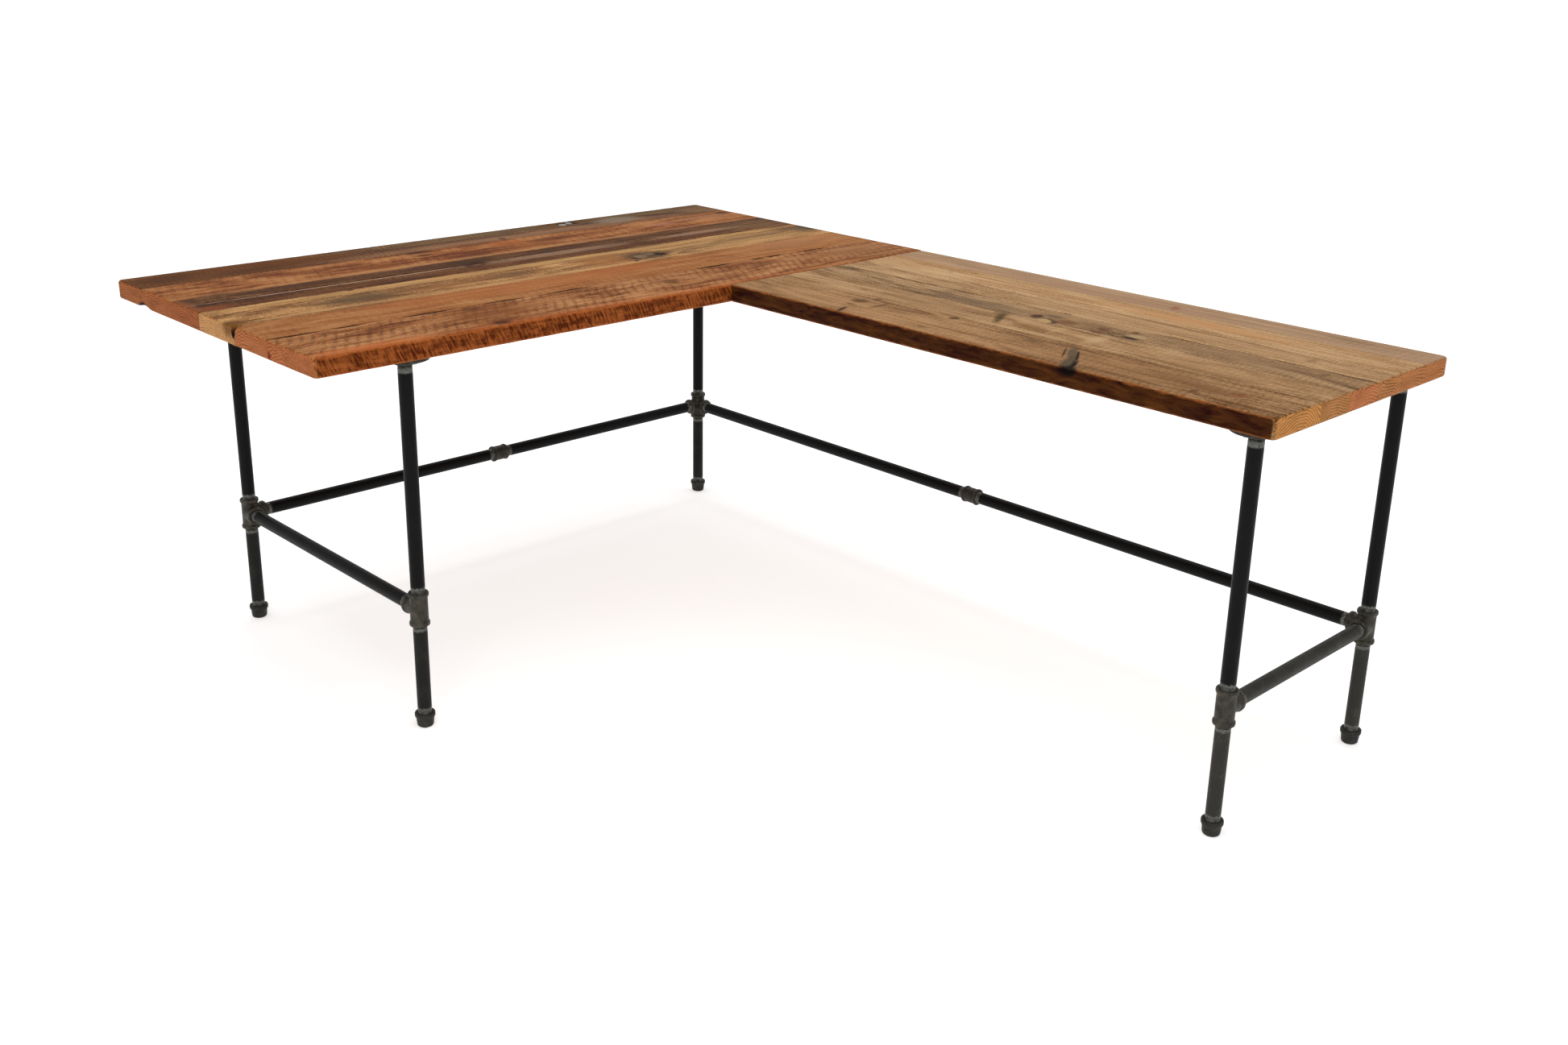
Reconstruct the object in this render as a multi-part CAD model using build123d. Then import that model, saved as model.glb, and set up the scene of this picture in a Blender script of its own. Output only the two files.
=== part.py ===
"""L-shaped desk: two plank tops butted end to edge, on five legs of threaded 3/4 inch iron pipe.

Millimetres. +Z is up. The origin is on the floor, under the middle of the desk's outer box.
The main top runs along X at the +Y side, and the return top runs from it towards -Y at the +X side.
Legs are joined near the floor by horizontal rails, which stay at the outer sides and the two ends.
"""

from build123d import *
import os

# ---- driving dimensions -------------------------------------------------------------------------
HEIGHT = 762.0              # floor to the working surface
TOP_THICK = 37.0
MAIN_LENGTH = 1516.0        # along X
RETURN_LENGTH = 1232.0      # along Y, beyond the main top's front edge
RETURN_SETBACK = 4.0        # the return's outer edge stands this far inside the main top's end

# plank widths: main from the back edge to the front, return from the inner edge to the outer
MAIN_PLANKS = (115.0, 137.0, 118.0, 140.0, 126.0, 164.0)
RETURN_PLANKS = (139.0, 92.0, 93.0, 84.0, 90.0, 88.0)
PLAN_CORNER_R = 12.0
ARRIS_R = 5.0

RAIL_HEIGHT = 241.0         # floor to the rails' centre line
LEG_FROM_LEFT = 198.0       # main top's left end to the two left legs
LEG_FROM_BACK = 74.0        # main top's back edge to the two back legs
LEG_FROM_RIGHT = 54.0       # main top's right end to the corner leg
LEG_FROM_FRONT = 50.0       # main top's front edge to the left front leg
LEG_FROM_INNER = 52.0       # return's inner edge to the return's front leg
LEG_FROM_END = 58.0         # return's free end to the return's two legs

# 3/4 inch pipe and malleable fittings
PIPE_R = 26.7 / 2
PIPE_BORE_R = 20.9 / 2
THREAD_R = PIPE_R - 0.25    # crest of the cut thread
THREAD_LENGTH = 21.0
ENGAGEMENT = 14.0           # how far a thread goes into its fitting
SOCKET_R = THREAD_R + 0.05
WATERWAY_R = 11.0
TEE_REACH = 33.3            # centre of a tee to the face of each outlet
BODY_R = 17.2
BRANCH_R = 17.0             # side barrels are a shade slimmer than the run
BRANCH_BORE_R = 10.8
BAND_R = 19.6               # rolled reinforcing band at every socket mouth
BAND_LENGTH = 9.0
BAND_EDGE = 1.6
COUPLING_LENGTH = 38.6
COUPLING_BAND_R = 19.0
COUPLING_BAND_LENGTH = 6.0
CAP_HEIGHT = 29.0
CAP_WALL = 5.0
CAP_EDGE = 6.0

FLANGE_R = 44.5
FLANGE_PLATE = 6.5
FLANGE_HEIGHT = 16.0
FLANGE_HUB_R = 19.4
FLANGE_HUB_BASE_R = 22.5
FLANGE_HOLE_R = 3.6
FLANGE_PITCH_R = 33.0
FLANGE_EDGE = 1.8

SCREW_R = 2.5
SCREW_LENGTH = 30.0
SCREW_HEAD_R = 5.4
SCREW_HEAD = 3.0
PILOT_GAP = 0.05

SEAM_PLATE = (38.0, 200.0, 3.0)
SEAM_PLATE_INSET = 130.0    # return's edges to the centre line of each seam plate
SEAM_SCREW_OFFSETS = (-78.0, -28.0, 28.0, 78.0)
SEAM_SCREW_LENGTH = 22.0
PLATE_HOLE_R = 3.0

# ---- places worked out from them ----------------------------------------------------------------
MAIN_DEPTH = sum(MAIN_PLANKS)
RETURN_WIDTH = sum(RETURN_PLANKS)
UNDERSIDE = HEIGHT - TOP_THICK
RIGHT = MAIN_LENGTH / 2
LEFT = -RIGHT
BACK = (MAIN_DEPTH + RETURN_LENGTH) / 2
END = -BACK
SEAM = BACK - MAIN_DEPTH
OUTER = RIGHT - RETURN_SETBACK
INNER = OUTER - RETURN_WIDTH

LEFT_X = LEFT + LEG_FROM_LEFT
CORNER_X = RIGHT - LEG_FROM_RIGHT
INNER_X = INNER + LEG_FROM_INNER
BACK_Y = BACK - LEG_FROM_BACK
FRONT_Y = SEAM + LEG_FROM_FRONT
END_Y = END + LEG_FROM_END

# each leg: its place, how many rails leave it, and the turn about Z that points its tee at them
LEGS = {
    "left_back": ((LEFT_X, BACK_Y), 2, -90),
    "left_front": ((LEFT_X, FRONT_Y), 1, 90),
    "corner": ((CORNER_X, BACK_Y), 2, 180),
    "return_back": ((CORNER_X, END_Y), 2, 90),
    "return_front": ((INNER_X, END_Y), 1, 0),
}
# each rail: the legs that it joins, and whether it is two pipes with a coupling
RAILS = {
    "rail_back": ("left_back", "corner", True),
    "rail_side": ("return_back", "corner", True),
    "rail_left": ("left_front", "left_back", False),
    "rail_end": ("return_front", "return_back", False),
}
TURN_FROM_Z = {
    "+X": Rotation(0, 90, 0),
    "+Y": Rotation(-90, 0, 0),
    "+Z": Rotation(0, 0, 0),
    "-Z": Rotation(180, 0, 0),
}
parts = {}


def rod(radius, z_low, z_high):
    """Cylinder about Z between two heights."""
    return Pos(0, 0, (z_low + z_high) / 2) * Cylinder(radius, z_high - z_low)


def turned(points):
    """Solid of revolution about Z from (radius, height) points."""
    outline = Polyline(*[(r, 0, z) for r, z in points], close=True)
    return revolve(make_face(outline), Axis.Z)


# ---- pipes --------------------------------------------------------------------------------------
def pipe(length):
    """Pipe from z = 0 to its length, threaded outside at both ends."""
    middle = rod(PIPE_R, THREAD_LENGTH, length - THREAD_LENGTH)
    ends = rod(THREAD_R, 0, length)
    return middle + ends - rod(PIPE_BORE_R, 0, length)


def pipe_between(start, finish):
    """Pipe whose ends are at two points on one line along X, Y or Z."""
    start, finish = Vector(*start), Vector(*finish)
    step = finish - start
    way = next(w for w, v in (("+X", step.X), ("+Y", step.Y), ("+Z", step.Z)) if v > 1)
    return Pos(start) * TURN_FROM_Z[way] * pipe(step.length)


# ---- fittings -----------------------------------------------------------------------------------
def outlet(barrel_r):
    """One arm of a tee along +Z: cast barrel with its rolled band at the mouth."""
    band = rod(BAND_R, TEE_REACH - BAND_LENGTH, TEE_REACH)
    band = chamfer(band.edges().filter_by(GeomType.CIRCLE), BAND_EDGE)
    return rod(barrel_r, 0, TEE_REACH) + band


def tee(side_outlets):
    """Tee on a vertical leg, with a side outlet along +X and perhaps another along +Y."""
    run_ways = ("+Z", "-Z")
    side_ways = ("+X", "+Y")[:side_outlets]
    body = rod(BODY_R, -TEE_REACH / 2, TEE_REACH / 2)
    for way in run_ways:
        body = body + TURN_FROM_Z[way] * outlet(BODY_R)
    for way in side_ways:
        body = body + TURN_FROM_Z[way] * outlet(BRANCH_R)
    for way in run_ways + side_ways:
        turn = TURN_FROM_Z[way]
        body = body - turn * rod(WATERWAY_R if way in run_ways else BRANCH_BORE_R, 0, TEE_REACH)
        body = body - turn * rod(SOCKET_R, TEE_REACH - ENGAGEMENT - 1, TEE_REACH)
    return body


def coupling():
    """Straight sleeve along Z, centred, with a band at each mouth."""
    half = COUPLING_LENGTH / 2
    body = rod(BODY_R, -half, half)
    for low in (-half, half - COUPLING_BAND_LENGTH):
        band = rod(COUPLING_BAND_R, low, low + COUPLING_BAND_LENGTH)
        body = body + chamfer(band.edges().filter_by(GeomType.CIRCLE), BAND_EDGE)
    body = body - rod(WATERWAY_R, -half, half)
    body = body - rod(SOCKET_R, half - ENGAGEMENT - 1, half)
    return body - rod(SOCKET_R, -half, -half + ENGAGEMENT + 1)


def cap():
    """Pipe cap standing on z = 0, open at the top."""
    shell = rod(BODY_R, 0, CAP_HEIGHT)
    shell = fillet(shell.edges().group_by(Axis.Z)[0], CAP_EDGE)
    band = rod(BAND_R, CAP_HEIGHT - BAND_LENGTH, CAP_HEIGHT)
    shell = shell + chamfer(band.edges().filter_by(GeomType.CIRCLE), BAND_EDGE)
    hollow = rod(WATERWAY_R, CAP_WALL, CAP_HEIGHT)
    return shell - hollow - rod(SOCKET_R, CAP_HEIGHT - ENGAGEMENT - 1, CAP_HEIGHT)


def flange():
    """Floor flange hanging from z = 0, with its hub downwards."""
    plate = rod(FLANGE_R, -FLANGE_PLATE, 0)
    plate = fillet(plate.edges().group_by(Axis.Z)[0], FLANGE_EDGE)
    hub = turned([
        (0, -FLANGE_PLATE / 2),
        (FLANGE_HUB_BASE_R, -FLANGE_PLATE / 2),
        (FLANGE_HUB_R, -FLANGE_HEIGHT + BAND_EDGE),
        (FLANGE_HUB_R - BAND_EDGE, -FLANGE_HEIGHT),
        (0, -FLANGE_HEIGHT),
    ])
    body = plate + hub - rod(SOCKET_R, -FLANGE_HEIGHT, 0)
    for place in PolarLocations(FLANGE_PITCH_R, 4):
        body = body - place * rod(FLANGE_HOLE_R, -FLANGE_PLATE, 0)
    return body


def wood_screw(length, head_top):
    """Pan-head screw pointing up along Z, whose head bears upwards at head_top."""
    head = rod(SCREW_HEAD_R, head_top - SCREW_HEAD, head_top)
    head = fillet(head.edges().group_by(Axis.Z)[0], SCREW_HEAD / 2)
    tip = head_top + length
    shank = turned([
        (0, head_top - 1),
        (SCREW_R, head_top - 1),
        (SCREW_R, tip - 2 * SCREW_R),
        (SCREW_R / 5, tip),
        (0, tip),
    ])
    return head + shank


# ---- legs ---------------------------------------------------------------------------------------
pilots = []
for name, ((x, y), rails_out, turn) in LEGS.items():
    at = Pos(x, y, 0)
    fitting_top = RAIL_HEIGHT + TEE_REACH - ENGAGEMENT
    fitting_low = RAIL_HEIGHT - TEE_REACH + ENGAGEMENT
    upper_top = UNDERSIDE - FLANGE_HEIGHT + ENGAGEMENT
    parts[f"flange_{name}"] = at * Pos(0, 0, UNDERSIDE) * flange()
    parts[f"upper_pipe_{name}"] = pipe_between((x, y, fitting_top), (x, y, upper_top))
    parts[f"lower_pipe_{name}"] = pipe_between((x, y, CAP_HEIGHT - ENGAGEMENT), (x, y, fitting_low))
    kind = "side_outlet_tee" if rails_out == 2 else "tee"
    parts[f"{kind}_{name}"] = Pos(x, y, RAIL_HEIGHT) * Rotation(0, 0, turn) * tee(rails_out)
    parts[f"foot_cap_{name}"] = at * cap()

    head_top = UNDERSIDE - FLANGE_PLATE
    screws = [at * place * wood_screw(SCREW_LENGTH, head_top)
              for place in PolarLocations(FLANGE_PITCH_R, 4)]
    parts[f"flange_screws_{name}"] = Compound(children=screws)
    pilots += [at * place * rod(SCREW_R + PILOT_GAP, UNDERSIDE - 1, head_top + SCREW_LENGTH)
               for place in PolarLocations(FLANGE_PITCH_R, 4)]

# ---- rails --------------------------------------------------------------------------------------
for name, (first, second, coupled) in RAILS.items():
    start = Vector(*LEGS[first][0], RAIL_HEIGHT)
    finish = Vector(*LEGS[second][0], RAIL_HEIGHT)
    way = (finish - start).normalized()
    socket_end = way * (TEE_REACH - ENGAGEMENT)
    if not coupled:
        parts[f"{name}_pipe"] = pipe_between(start + socket_end, finish - socket_end)
        continue
    middle = (start + finish) * 0.5
    gap = way * (COUPLING_LENGTH / 2 - ENGAGEMENT)
    parts[f"{name}_pipe_1"] = pipe_between(start + socket_end, middle - gap)
    parts[f"{name}_pipe_2"] = pipe_between(middle + gap, finish - socket_end)
    turn = TURN_FROM_Z["+X" if way.X > 0.5 else "+Y"]
    parts[f"{name}_coupling"] = Pos(middle) * turn * coupling()

# ---- seam plates under the joint between the tops -----------------------------------------------
plate_width, plate_length, plate_thick = SEAM_PLATE
for name, x in (("inner", INNER + SEAM_PLATE_INSET), ("outer", OUTER - SEAM_PLATE_INSET)):
    plate_low = UNDERSIDE - plate_thick
    plate = Pos(x, SEAM, UNDERSIDE - plate_thick / 2) * Box(plate_width, plate_length, plate_thick)
    plate = fillet(plate.edges().filter_by(Axis.Z), plate_width / 4)
    screws = []
    for offset in SEAM_SCREW_OFFSETS:
        at = Pos(x, SEAM + offset, 0)
        plate = plate - at * rod(PLATE_HOLE_R, plate_low, UNDERSIDE)
        screws.append(at * wood_screw(SEAM_SCREW_LENGTH, plate_low))
        pilots.append(at * rod(SCREW_R + PILOT_GAP, UNDERSIDE - 1, plate_low + SEAM_SCREW_LENGTH))
    parts[f"seam_plate_{name}"] = plate
    parts[f"seam_screws_{name}"] = Compound(children=screws)


# ---- tops ---------------------------------------------------------------------------------------
def slab(x_low, x_high, y_low, y_high):
    """Whole top with rounded corners and eased arrises, before it is parted into planks."""
    width, depth = x_high - x_low, y_high - y_low
    centre = Pos((x_low + x_high) / 2, (y_low + y_high) / 2, UNDERSIDE)
    body = centre * extrude(RectangleRounded(width, depth, PLAN_CORNER_R), TOP_THICK)
    levels = body.edges().filter_by(Axis.Z, reverse=True).group_by(Axis.Z)
    return fillet(levels[0] + levels[-1], ARRIS_R)


def plank_of(whole, x_low, x_high, y_low, y_high):
    """The stretch of a top between two plan limits, with the pilot holes that fall in it."""
    centre = Pos((x_low + x_high) / 2, (y_low + y_high) / 2, UNDERSIDE + TOP_THICK / 2)
    plank = whole & centre * Box(x_high - x_low, y_high - y_low, TOP_THICK + 2)
    for pilot in pilots:
        middle = pilot.center()
        if x_low < middle.X < x_high and y_low < middle.Y < y_high:
            plank = plank - pilot
    return plank


main_top = slab(LEFT, RIGHT, SEAM, BACK)
edge = BACK
for number, width in enumerate(MAIN_PLANKS, 1):
    parts[f"main_plank_{number}"] = plank_of(main_top, LEFT, RIGHT, edge - width, edge)
    edge -= width

return_top = slab(INNER, OUTER, END, SEAM)
edge = INNER
for number, width in enumerate(RETURN_PLANKS, 1):
    parts[f"return_plank_{number}"] = plank_of(return_top, edge, edge + width, END, SEAM)
    edge += width

# ---- one file for each piece --------------------------------------------------------------------
os.makedirs("parts", exist_ok=True)
for name, shape in parts.items():
    export_step(shape, f"parts/{name}.step")
print(len(parts), "nodes")
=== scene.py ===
"""L-shaped plank desk on a frame of threaded iron pipe.

Metres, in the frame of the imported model: the floor is at z = 0 and +Z is up. The main top runs
along X at the +Y side, and the return runs from its front edge towards -Y at the +X side.
"""

import math

import bpy
import numpy as np
from mathutils import Matrix, Vector, noise


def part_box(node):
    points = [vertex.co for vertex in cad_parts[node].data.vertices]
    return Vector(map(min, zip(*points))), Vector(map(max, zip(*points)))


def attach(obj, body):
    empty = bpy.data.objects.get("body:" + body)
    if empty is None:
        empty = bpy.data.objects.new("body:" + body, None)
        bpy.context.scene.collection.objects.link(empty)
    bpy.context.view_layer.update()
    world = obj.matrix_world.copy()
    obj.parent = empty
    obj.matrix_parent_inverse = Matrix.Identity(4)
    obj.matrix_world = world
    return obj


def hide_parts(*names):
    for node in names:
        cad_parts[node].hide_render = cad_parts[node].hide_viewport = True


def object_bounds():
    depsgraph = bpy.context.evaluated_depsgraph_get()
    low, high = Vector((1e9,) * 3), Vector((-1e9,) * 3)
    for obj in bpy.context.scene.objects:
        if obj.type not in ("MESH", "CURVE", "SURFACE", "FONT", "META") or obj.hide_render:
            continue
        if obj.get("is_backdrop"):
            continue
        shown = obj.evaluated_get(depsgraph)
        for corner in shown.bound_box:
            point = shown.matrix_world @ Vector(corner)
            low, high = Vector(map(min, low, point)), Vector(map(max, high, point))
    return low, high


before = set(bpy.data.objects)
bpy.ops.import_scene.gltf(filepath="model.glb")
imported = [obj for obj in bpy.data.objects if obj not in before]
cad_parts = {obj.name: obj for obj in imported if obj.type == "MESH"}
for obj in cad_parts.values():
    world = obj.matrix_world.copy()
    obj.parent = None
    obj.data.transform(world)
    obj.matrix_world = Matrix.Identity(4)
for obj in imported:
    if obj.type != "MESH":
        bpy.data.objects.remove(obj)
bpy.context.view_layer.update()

# ---- studio -------------------------------------------------------------------------------------
# A plain white floor under even, soft light, with no strong shadow anywhere.
# The lens stands a little above the desk, off its open corner, and looks across both tops.
EYE = (-1.96349, -2.152958, 1.447587)
EYE_YAW, EYE_PITCH, EYE_ROLL = 45.605, -18.223, 1.196
SENSOR_WIDTH, LENS_LENGTH = 36.0, 36.54
LENS_SHIFT = (-0.0064, -0.0431)
NEAREST, FARTHEST = 0.05, 200.0
WHITE = (1.0, 1.0, 1.0, 1.0)
FLOOR_SIZE = 60.0
FLOOR_TONE = (0.86, 0.86, 0.86, 1.0)
FLOOR_ROUGH = 0.9
FLOOR_GLOW = 0.42
SKY_SEEN = 1.05             # white where it is seen, softer as a light
SKY_STRENGTH = 0.78

scene = bpy.context.scene
scene.view_settings.view_transform = "Standard"

bpy.ops.object.select_all(action="DESELECT")
bpy.ops.object.camera_add()
camera = bpy.context.object
camera.name = "camera"
camera.matrix_world = (
    Matrix.Translation(EYE)
    @ Matrix.Rotation(math.radians(EYE_YAW - 90), 4, "Z")
    @ Matrix.Rotation(math.radians(90 + EYE_PITCH), 4, "X")
    @ Matrix.Rotation(math.radians(EYE_ROLL), 4, "Z")
)
camera.data.sensor_width = SENSOR_WIDTH
camera.data.lens = LENS_LENGTH
camera.data.shift_x, camera.data.shift_y = LENS_SHIFT
camera.data.clip_start = NEAREST
camera.data.clip_end = FARTHEST
scene.camera = camera

world = bpy.data.worlds.new("soft_room")
world.use_nodes = True
sky = world.node_tree.nodes["Background"]
sky.inputs["Color"].default_value = WHITE
seen = world.node_tree.nodes.new("ShaderNodeLightPath").outputs["Is Camera Ray"]
strength = world.node_tree.nodes.new("ShaderNodeMath")
strength.operation = "MULTIPLY_ADD"
strength.inputs[1].default_value = SKY_SEEN - SKY_STRENGTH
strength.inputs[2].default_value = SKY_STRENGTH
world.node_tree.links.new(seen, strength.inputs[0])
world.node_tree.links.new(strength.outputs[0], sky.inputs["Strength"])
scene.world = world

# each softbox: where it hangs, what it looks at, its side and its watts
SOFTBOXES = (
    ("key_light", (-2.4, -2.6, 3.2), (0.2, 0.2, 0.7), 2.6, 46.0),
    ("top_light", (0.3, 0.4, 3.4), (0.3, 0.3, 0.7), 3.0, 38.0),
)
for label, place, target, side, watts in SOFTBOXES:
    bpy.ops.object.light_add(type="AREA", location=place)
    softbox = bpy.context.object
    softbox.name = label
    softbox.data.shape = "SQUARE"
    softbox.data.size = side
    softbox.data.energy = watts
    aim = Vector(target) - Vector(place)
    softbox.rotation_euler = aim.to_track_quat("-Z", "Y").to_euler()

bpy.ops.object.select_all(action="DESELECT")
bpy.ops.mesh.primitive_plane_add(size=FLOOR_SIZE)
floor = bpy.context.object
floor.name = "studio_floor"
paper = bpy.data.materials.new("white_paper")
paper.use_nodes = True
paper_shader = paper.node_tree.nodes["Principled BSDF"]
paper_shader.inputs["Base Color"].default_value = FLOOR_TONE
paper_shader.inputs["Roughness"].default_value = FLOOR_ROUGH
paper_shader.inputs["Specular IOR Level"].default_value = 0.0
paper_shader.inputs["Emission Color"].default_value = WHITE
paper_shader.inputs["Emission Strength"].default_value = FLOOR_GLOW
floor.data.materials.append(paper)
floor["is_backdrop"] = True

# ---- plank tops ---------------------------------------------------------------------------------
# Old sawn fir boards, glued edge to edge into two tops and sanded only lightly, so the saw's
# chatter, stains, checks and knots stay. The arrises are eased by hand and the whole is oiled.
MM = 0.001
BOARD_THICK = 37 * MM
ARRIS_R = 5.0 * MM
PLAN_CORNER_R = 12.0 * MM
TIGHT_JOINT = 0.35 * MM     # easing where two boards meet
CELL = 4.0 * MM             # the grid's cells along and across a board
CELLS_DOWN = 15             # how many it has from face to face
STRIPS = 12                 # a board's length is cut first into these, then each into cells
FACE_SWELL = 0.35 * MM      # how uneven the upper face and the bottom are
BOTTOM_SWELL = 0.5 * MM
EDGE_WEAR = 1.4 * MM        # how far wear sinks the face beside a free edge, and lifts the bottom
EDGE_LIFT = 1.2 * MM
EDGE_BITE = 0.45 * MM       # how far wear eats into the edge itself
WEAR_WIDE = 7 * MM          # and how wide each is
BITE_WIDE = 9 * MM
STROKE_REACH = 0.11         # length of one saw stroke
RING_WIDTH = 5.2 * MM
WOOD_LIGHT = 0.90           # share of a colour that is the wood's own, not the light's
WOOD_SHEEN = 0.014          # what the sheen adds to every colour
ALL_DEPTHS = 9000           # depth of a mark that goes right through, in millimetres


def linear(tone):
    """Display colour, 0 to 255, as the light-linear colour that a shader takes."""
    share = [c / 255 for c in tone]
    return [c / 12.92 if c <= 0.04045 else ((c + 0.055) / 1.055) ** 2.4 for c in share] + [1.0]


class Finish:
    """One procedural material, wired a step at a time."""

    def __init__(self, name, light_share=1.0, sheen=0.0):
        self.light_share = light_share
        self.sheen = sheen
        self.material = bpy.data.materials.new(name)
        self.material.use_nodes = True
        self.nodes = self.material.node_tree.nodes
        self.shader = self.nodes["Principled BSDF"]
        self.place = self.nodes.new("ShaderNodeTexCoord").outputs["Object"]

    def tint(self, tone):
        """Display colour as a linear one, less what the light and the sheen add to it."""
        return [max(c * self.light_share - self.sheen, 0.0015) for c in linear(tone)[:3]] + [1.0]

    def feed(self, socket, value):
        """Link an output into a socket, or set a plain value on it."""
        if isinstance(value, bpy.types.NodeSocket):
            self.material.node_tree.links.new(value, socket)
        else:
            socket.default_value = value

    def add(self, kind, given, result=0, **settings):
        """A node with its settings, and with its inputs given by number or name; one output."""
        node = self.nodes.new("ShaderNode" + kind)
        for label, value in settings.items():
            setattr(node, label, value)
        for socket, value in given.items():
            self.feed(node.inputs[socket], value)
        return node.outputs[result]

    def calc(self, way, *values):
        """Math on numbers, such as calc("ADD", a, b)."""
        return self.add("Math", dict(enumerate(values)), operation=way)

    def cells(self, point, size, at=(0, 0, 0), turn=0.0, axis=2):
        """The same space measured in cells of a size, from a place, and turned about one axis."""
        turns = [turn if number == axis else 0.0 for number in range(3)]
        given = {"Vector": point, "Location": at, "Rotation": turns, "Scale": size}
        return self.add("Mapping", given, vector_type="TEXTURE")

    def cloud(self, point, detail=2.0, rough=0.5, warp=0.0, result="Fac"):
        """Noise of about one cell, from 0 to 1."""
        given = {"Vector": point, "Scale": 1.0, "Detail": detail, "Roughness": rough,
                 "Distortion": warp}
        return self.add("TexNoise", given, result)

    def even_cloud(self, size, *look):
        """Noise whose cells are the same size each way."""
        return self.cloud(self.cells(self.place, (size, size, size)), *look)

    def spread(self, value, low, high, start=0.0, finish=1.0):
        """Smooth step of a value between two limits."""
        given = dict(enumerate((value, low, high, start, finish)))
        return self.add("MapRange", given, interpolation_type="SMOOTHSTEP")

    def length(self, vector):
        """How long a vector is."""
        return self.add("VectorMath", {0: vector}, "Value", operation="LENGTH")

    def shifted(self, point, drift, share):
        """Point moved by a cloud's colour, centred, times a share for each axis."""
        centred = self.add("VectorMath", {0: drift, 1: (0.5, 0.5, 0.5)}, operation="SUBTRACT")
        return self.add("VectorMath", {0: centred, 1: share, 2: point}, operation="MULTIPLY_ADD")

    def split(self, vector):
        """The three numbers of a vector."""
        return self.add("SeparateXYZ", {0: vector}).node.outputs

    def blend(self, share, first, second, way="MIX"):
        """Colour between two others."""
        return self.add("Mix", {0: share, 6: first, 7: second}, 2, data_type="RGBA", blend_type=way)

    def ramp(self, value, *stops):
        """Colour ramp of (position, colour) stops."""
        colour = self.add("ValToRGB", {0: value})
        elements = colour.node.color_ramp.elements
        for number, (position, tone) in enumerate(stops):
            stop = elements[number] if number < 2 else elements.new(position)
            stop.position = position
            stop.color = self.tint(tone)
        return colour

    def marked(self, colour, point, ragged, marks):
        """The marks painted over a colour, each with its own soft and ragged edge."""
        for mark in marks:
            where = self.cells(point, mark.half, at=mark.place, turn=mark.turn)
            reach = self.calc("MULTIPLY_ADD", ragged, mark.ragged * 2, self.length(where))
            share = self.spread(reach, 1 - mark.soft, 1 + mark.soft, mark.strength, 0.0)
            colour = self.blend(share, colour, self.tint(mark.tone))
        return colour

    def relief(self, height, depth, strength=1.0):
        """Bump of a depth in metres."""
        bump = self.add("Bump", {"Strength": strength, "Distance": depth, "Height": height})
        self.feed(self.shader.inputs["Normal"], bump)

    def surface(self, **values):
        """Feed the shader's own sockets, such as Base_Color or IOR."""
        for label, value in values.items():
            self.feed(self.shader.inputs[label.replace("_", " ")], value)


class Top:
    """One glued-up top: where its boards are measured from, and which way they run."""

    def __init__(self, boards, run, open_start, seam_start, fascia, fascia_saw, arris_rub_and_highlight_tone):
        boxes = [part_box(node) for node in boards]
        self.low = np.array([low for low, high in boxes]).min(axis=0)
        self.high = np.array([high for low, high in boxes]).max(axis=0)
        self.run = run                          # the axis of the grain, 0 for X or 1 for Y
        self.length = self.high[run] - self.low[run]
        self.width = self.high[1 - run] - self.low[1 - run]
        self.open_start = open_start            # whether the end that distances start from is free
        self.seam_start = seam_start            # where along its front edge the other top butts on
        self.corner = (self.low[0], self.high[1]) if run == 0 else (self.high[0], self.high[1])
        self.turn = 0.0 if run == 0 else -math.pi / 2
        self.fascia = fascia                    # dark and light colours of the long sawn edges
        self.fascia_saw = fascia_saw            # how strongly the saw's lines show on them
        # pale colour of the eased arrises: part rubbed wear, part painted highlight
        self.arris_rub_and_highlight_tone = arris_rub_and_highlight_tone

    def along_across(self, places):
        """Distance along the grain and across it, from the top's corner."""
        x = places[:, 0] - self.corner[0]
        y = places[:, 1] - self.corner[1]
        return (x, -y) if self.run == 0 else (-y, -x)


class Mark:
    """Something on a board: a knot, a stain, a check or a dent, as an ellipse in millimetres.

    Its place is s along the top and t across it, and down below it if it has a depth, deep.
    """

    def __init__(self, s, t, long, wide, tone, strength=0.85, soft=0.45, dent=0.0, turn=0,
                 ragged=0.5, down=0, deep=ALL_DEPTHS, under=False):
        self.place = (s * MM, t * MM, down * MM)
        self.half = (long * MM / 2, wide * MM / 2, deep * MM)
        self.turn = math.radians(turn)
        self.tone = tone
        self.strength = strength
        self.soft = soft
        self.dent = dent * MM
        self.ragged = ragged
        self.under = under
        self.pocket = deep < ALL_DEPTHS     # whether it is at one depth, and so on the sides too

    def nearness(self, s, t):
        """1 well inside the mark, falling smoothly to 0 outside it."""
        cos, sin = math.cos(self.turn), math.sin(self.turn)
        ds, dt = s - self.place[0], t - self.place[1]
        a = (ds * cos + dt * sin) / self.half[0]
        b = (dt * cos - ds * sin) / self.half[1]
        return np.clip(1.35 - np.hypot(a, b), 0.0, 1.0)


def only(piece):
    """Leave one piece selected, so that operators act on it alone."""
    bpy.ops.object.select_all(action="DESELECT")
    piece.select_set(True)
    bpy.context.view_layer.objects.active = piece


def places_of(piece):
    """The piece's vertices as rows of x, y, z."""
    places = np.empty(len(piece.data.vertices) * 3)
    piece.data.vertices.foreach_get("co", places)
    return places.reshape(-1, 3)


def move_to(piece, places):
    """Put the piece's vertices at these places."""
    piece.data.vertices.foreach_set("co", places.ravel())
    piece.data.update()


def pick_none(piece, kind):
    """Clear what is picked in a piece's mesh, before edges or faces are picked by their place."""
    only(piece)
    bpy.ops.object.mode_set(mode="EDIT")
    bpy.ops.mesh.select_mode(type=kind)
    bpy.ops.mesh.select_all(action="DESELECT")
    bpy.ops.object.mode_set(mode="OBJECT")


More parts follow.
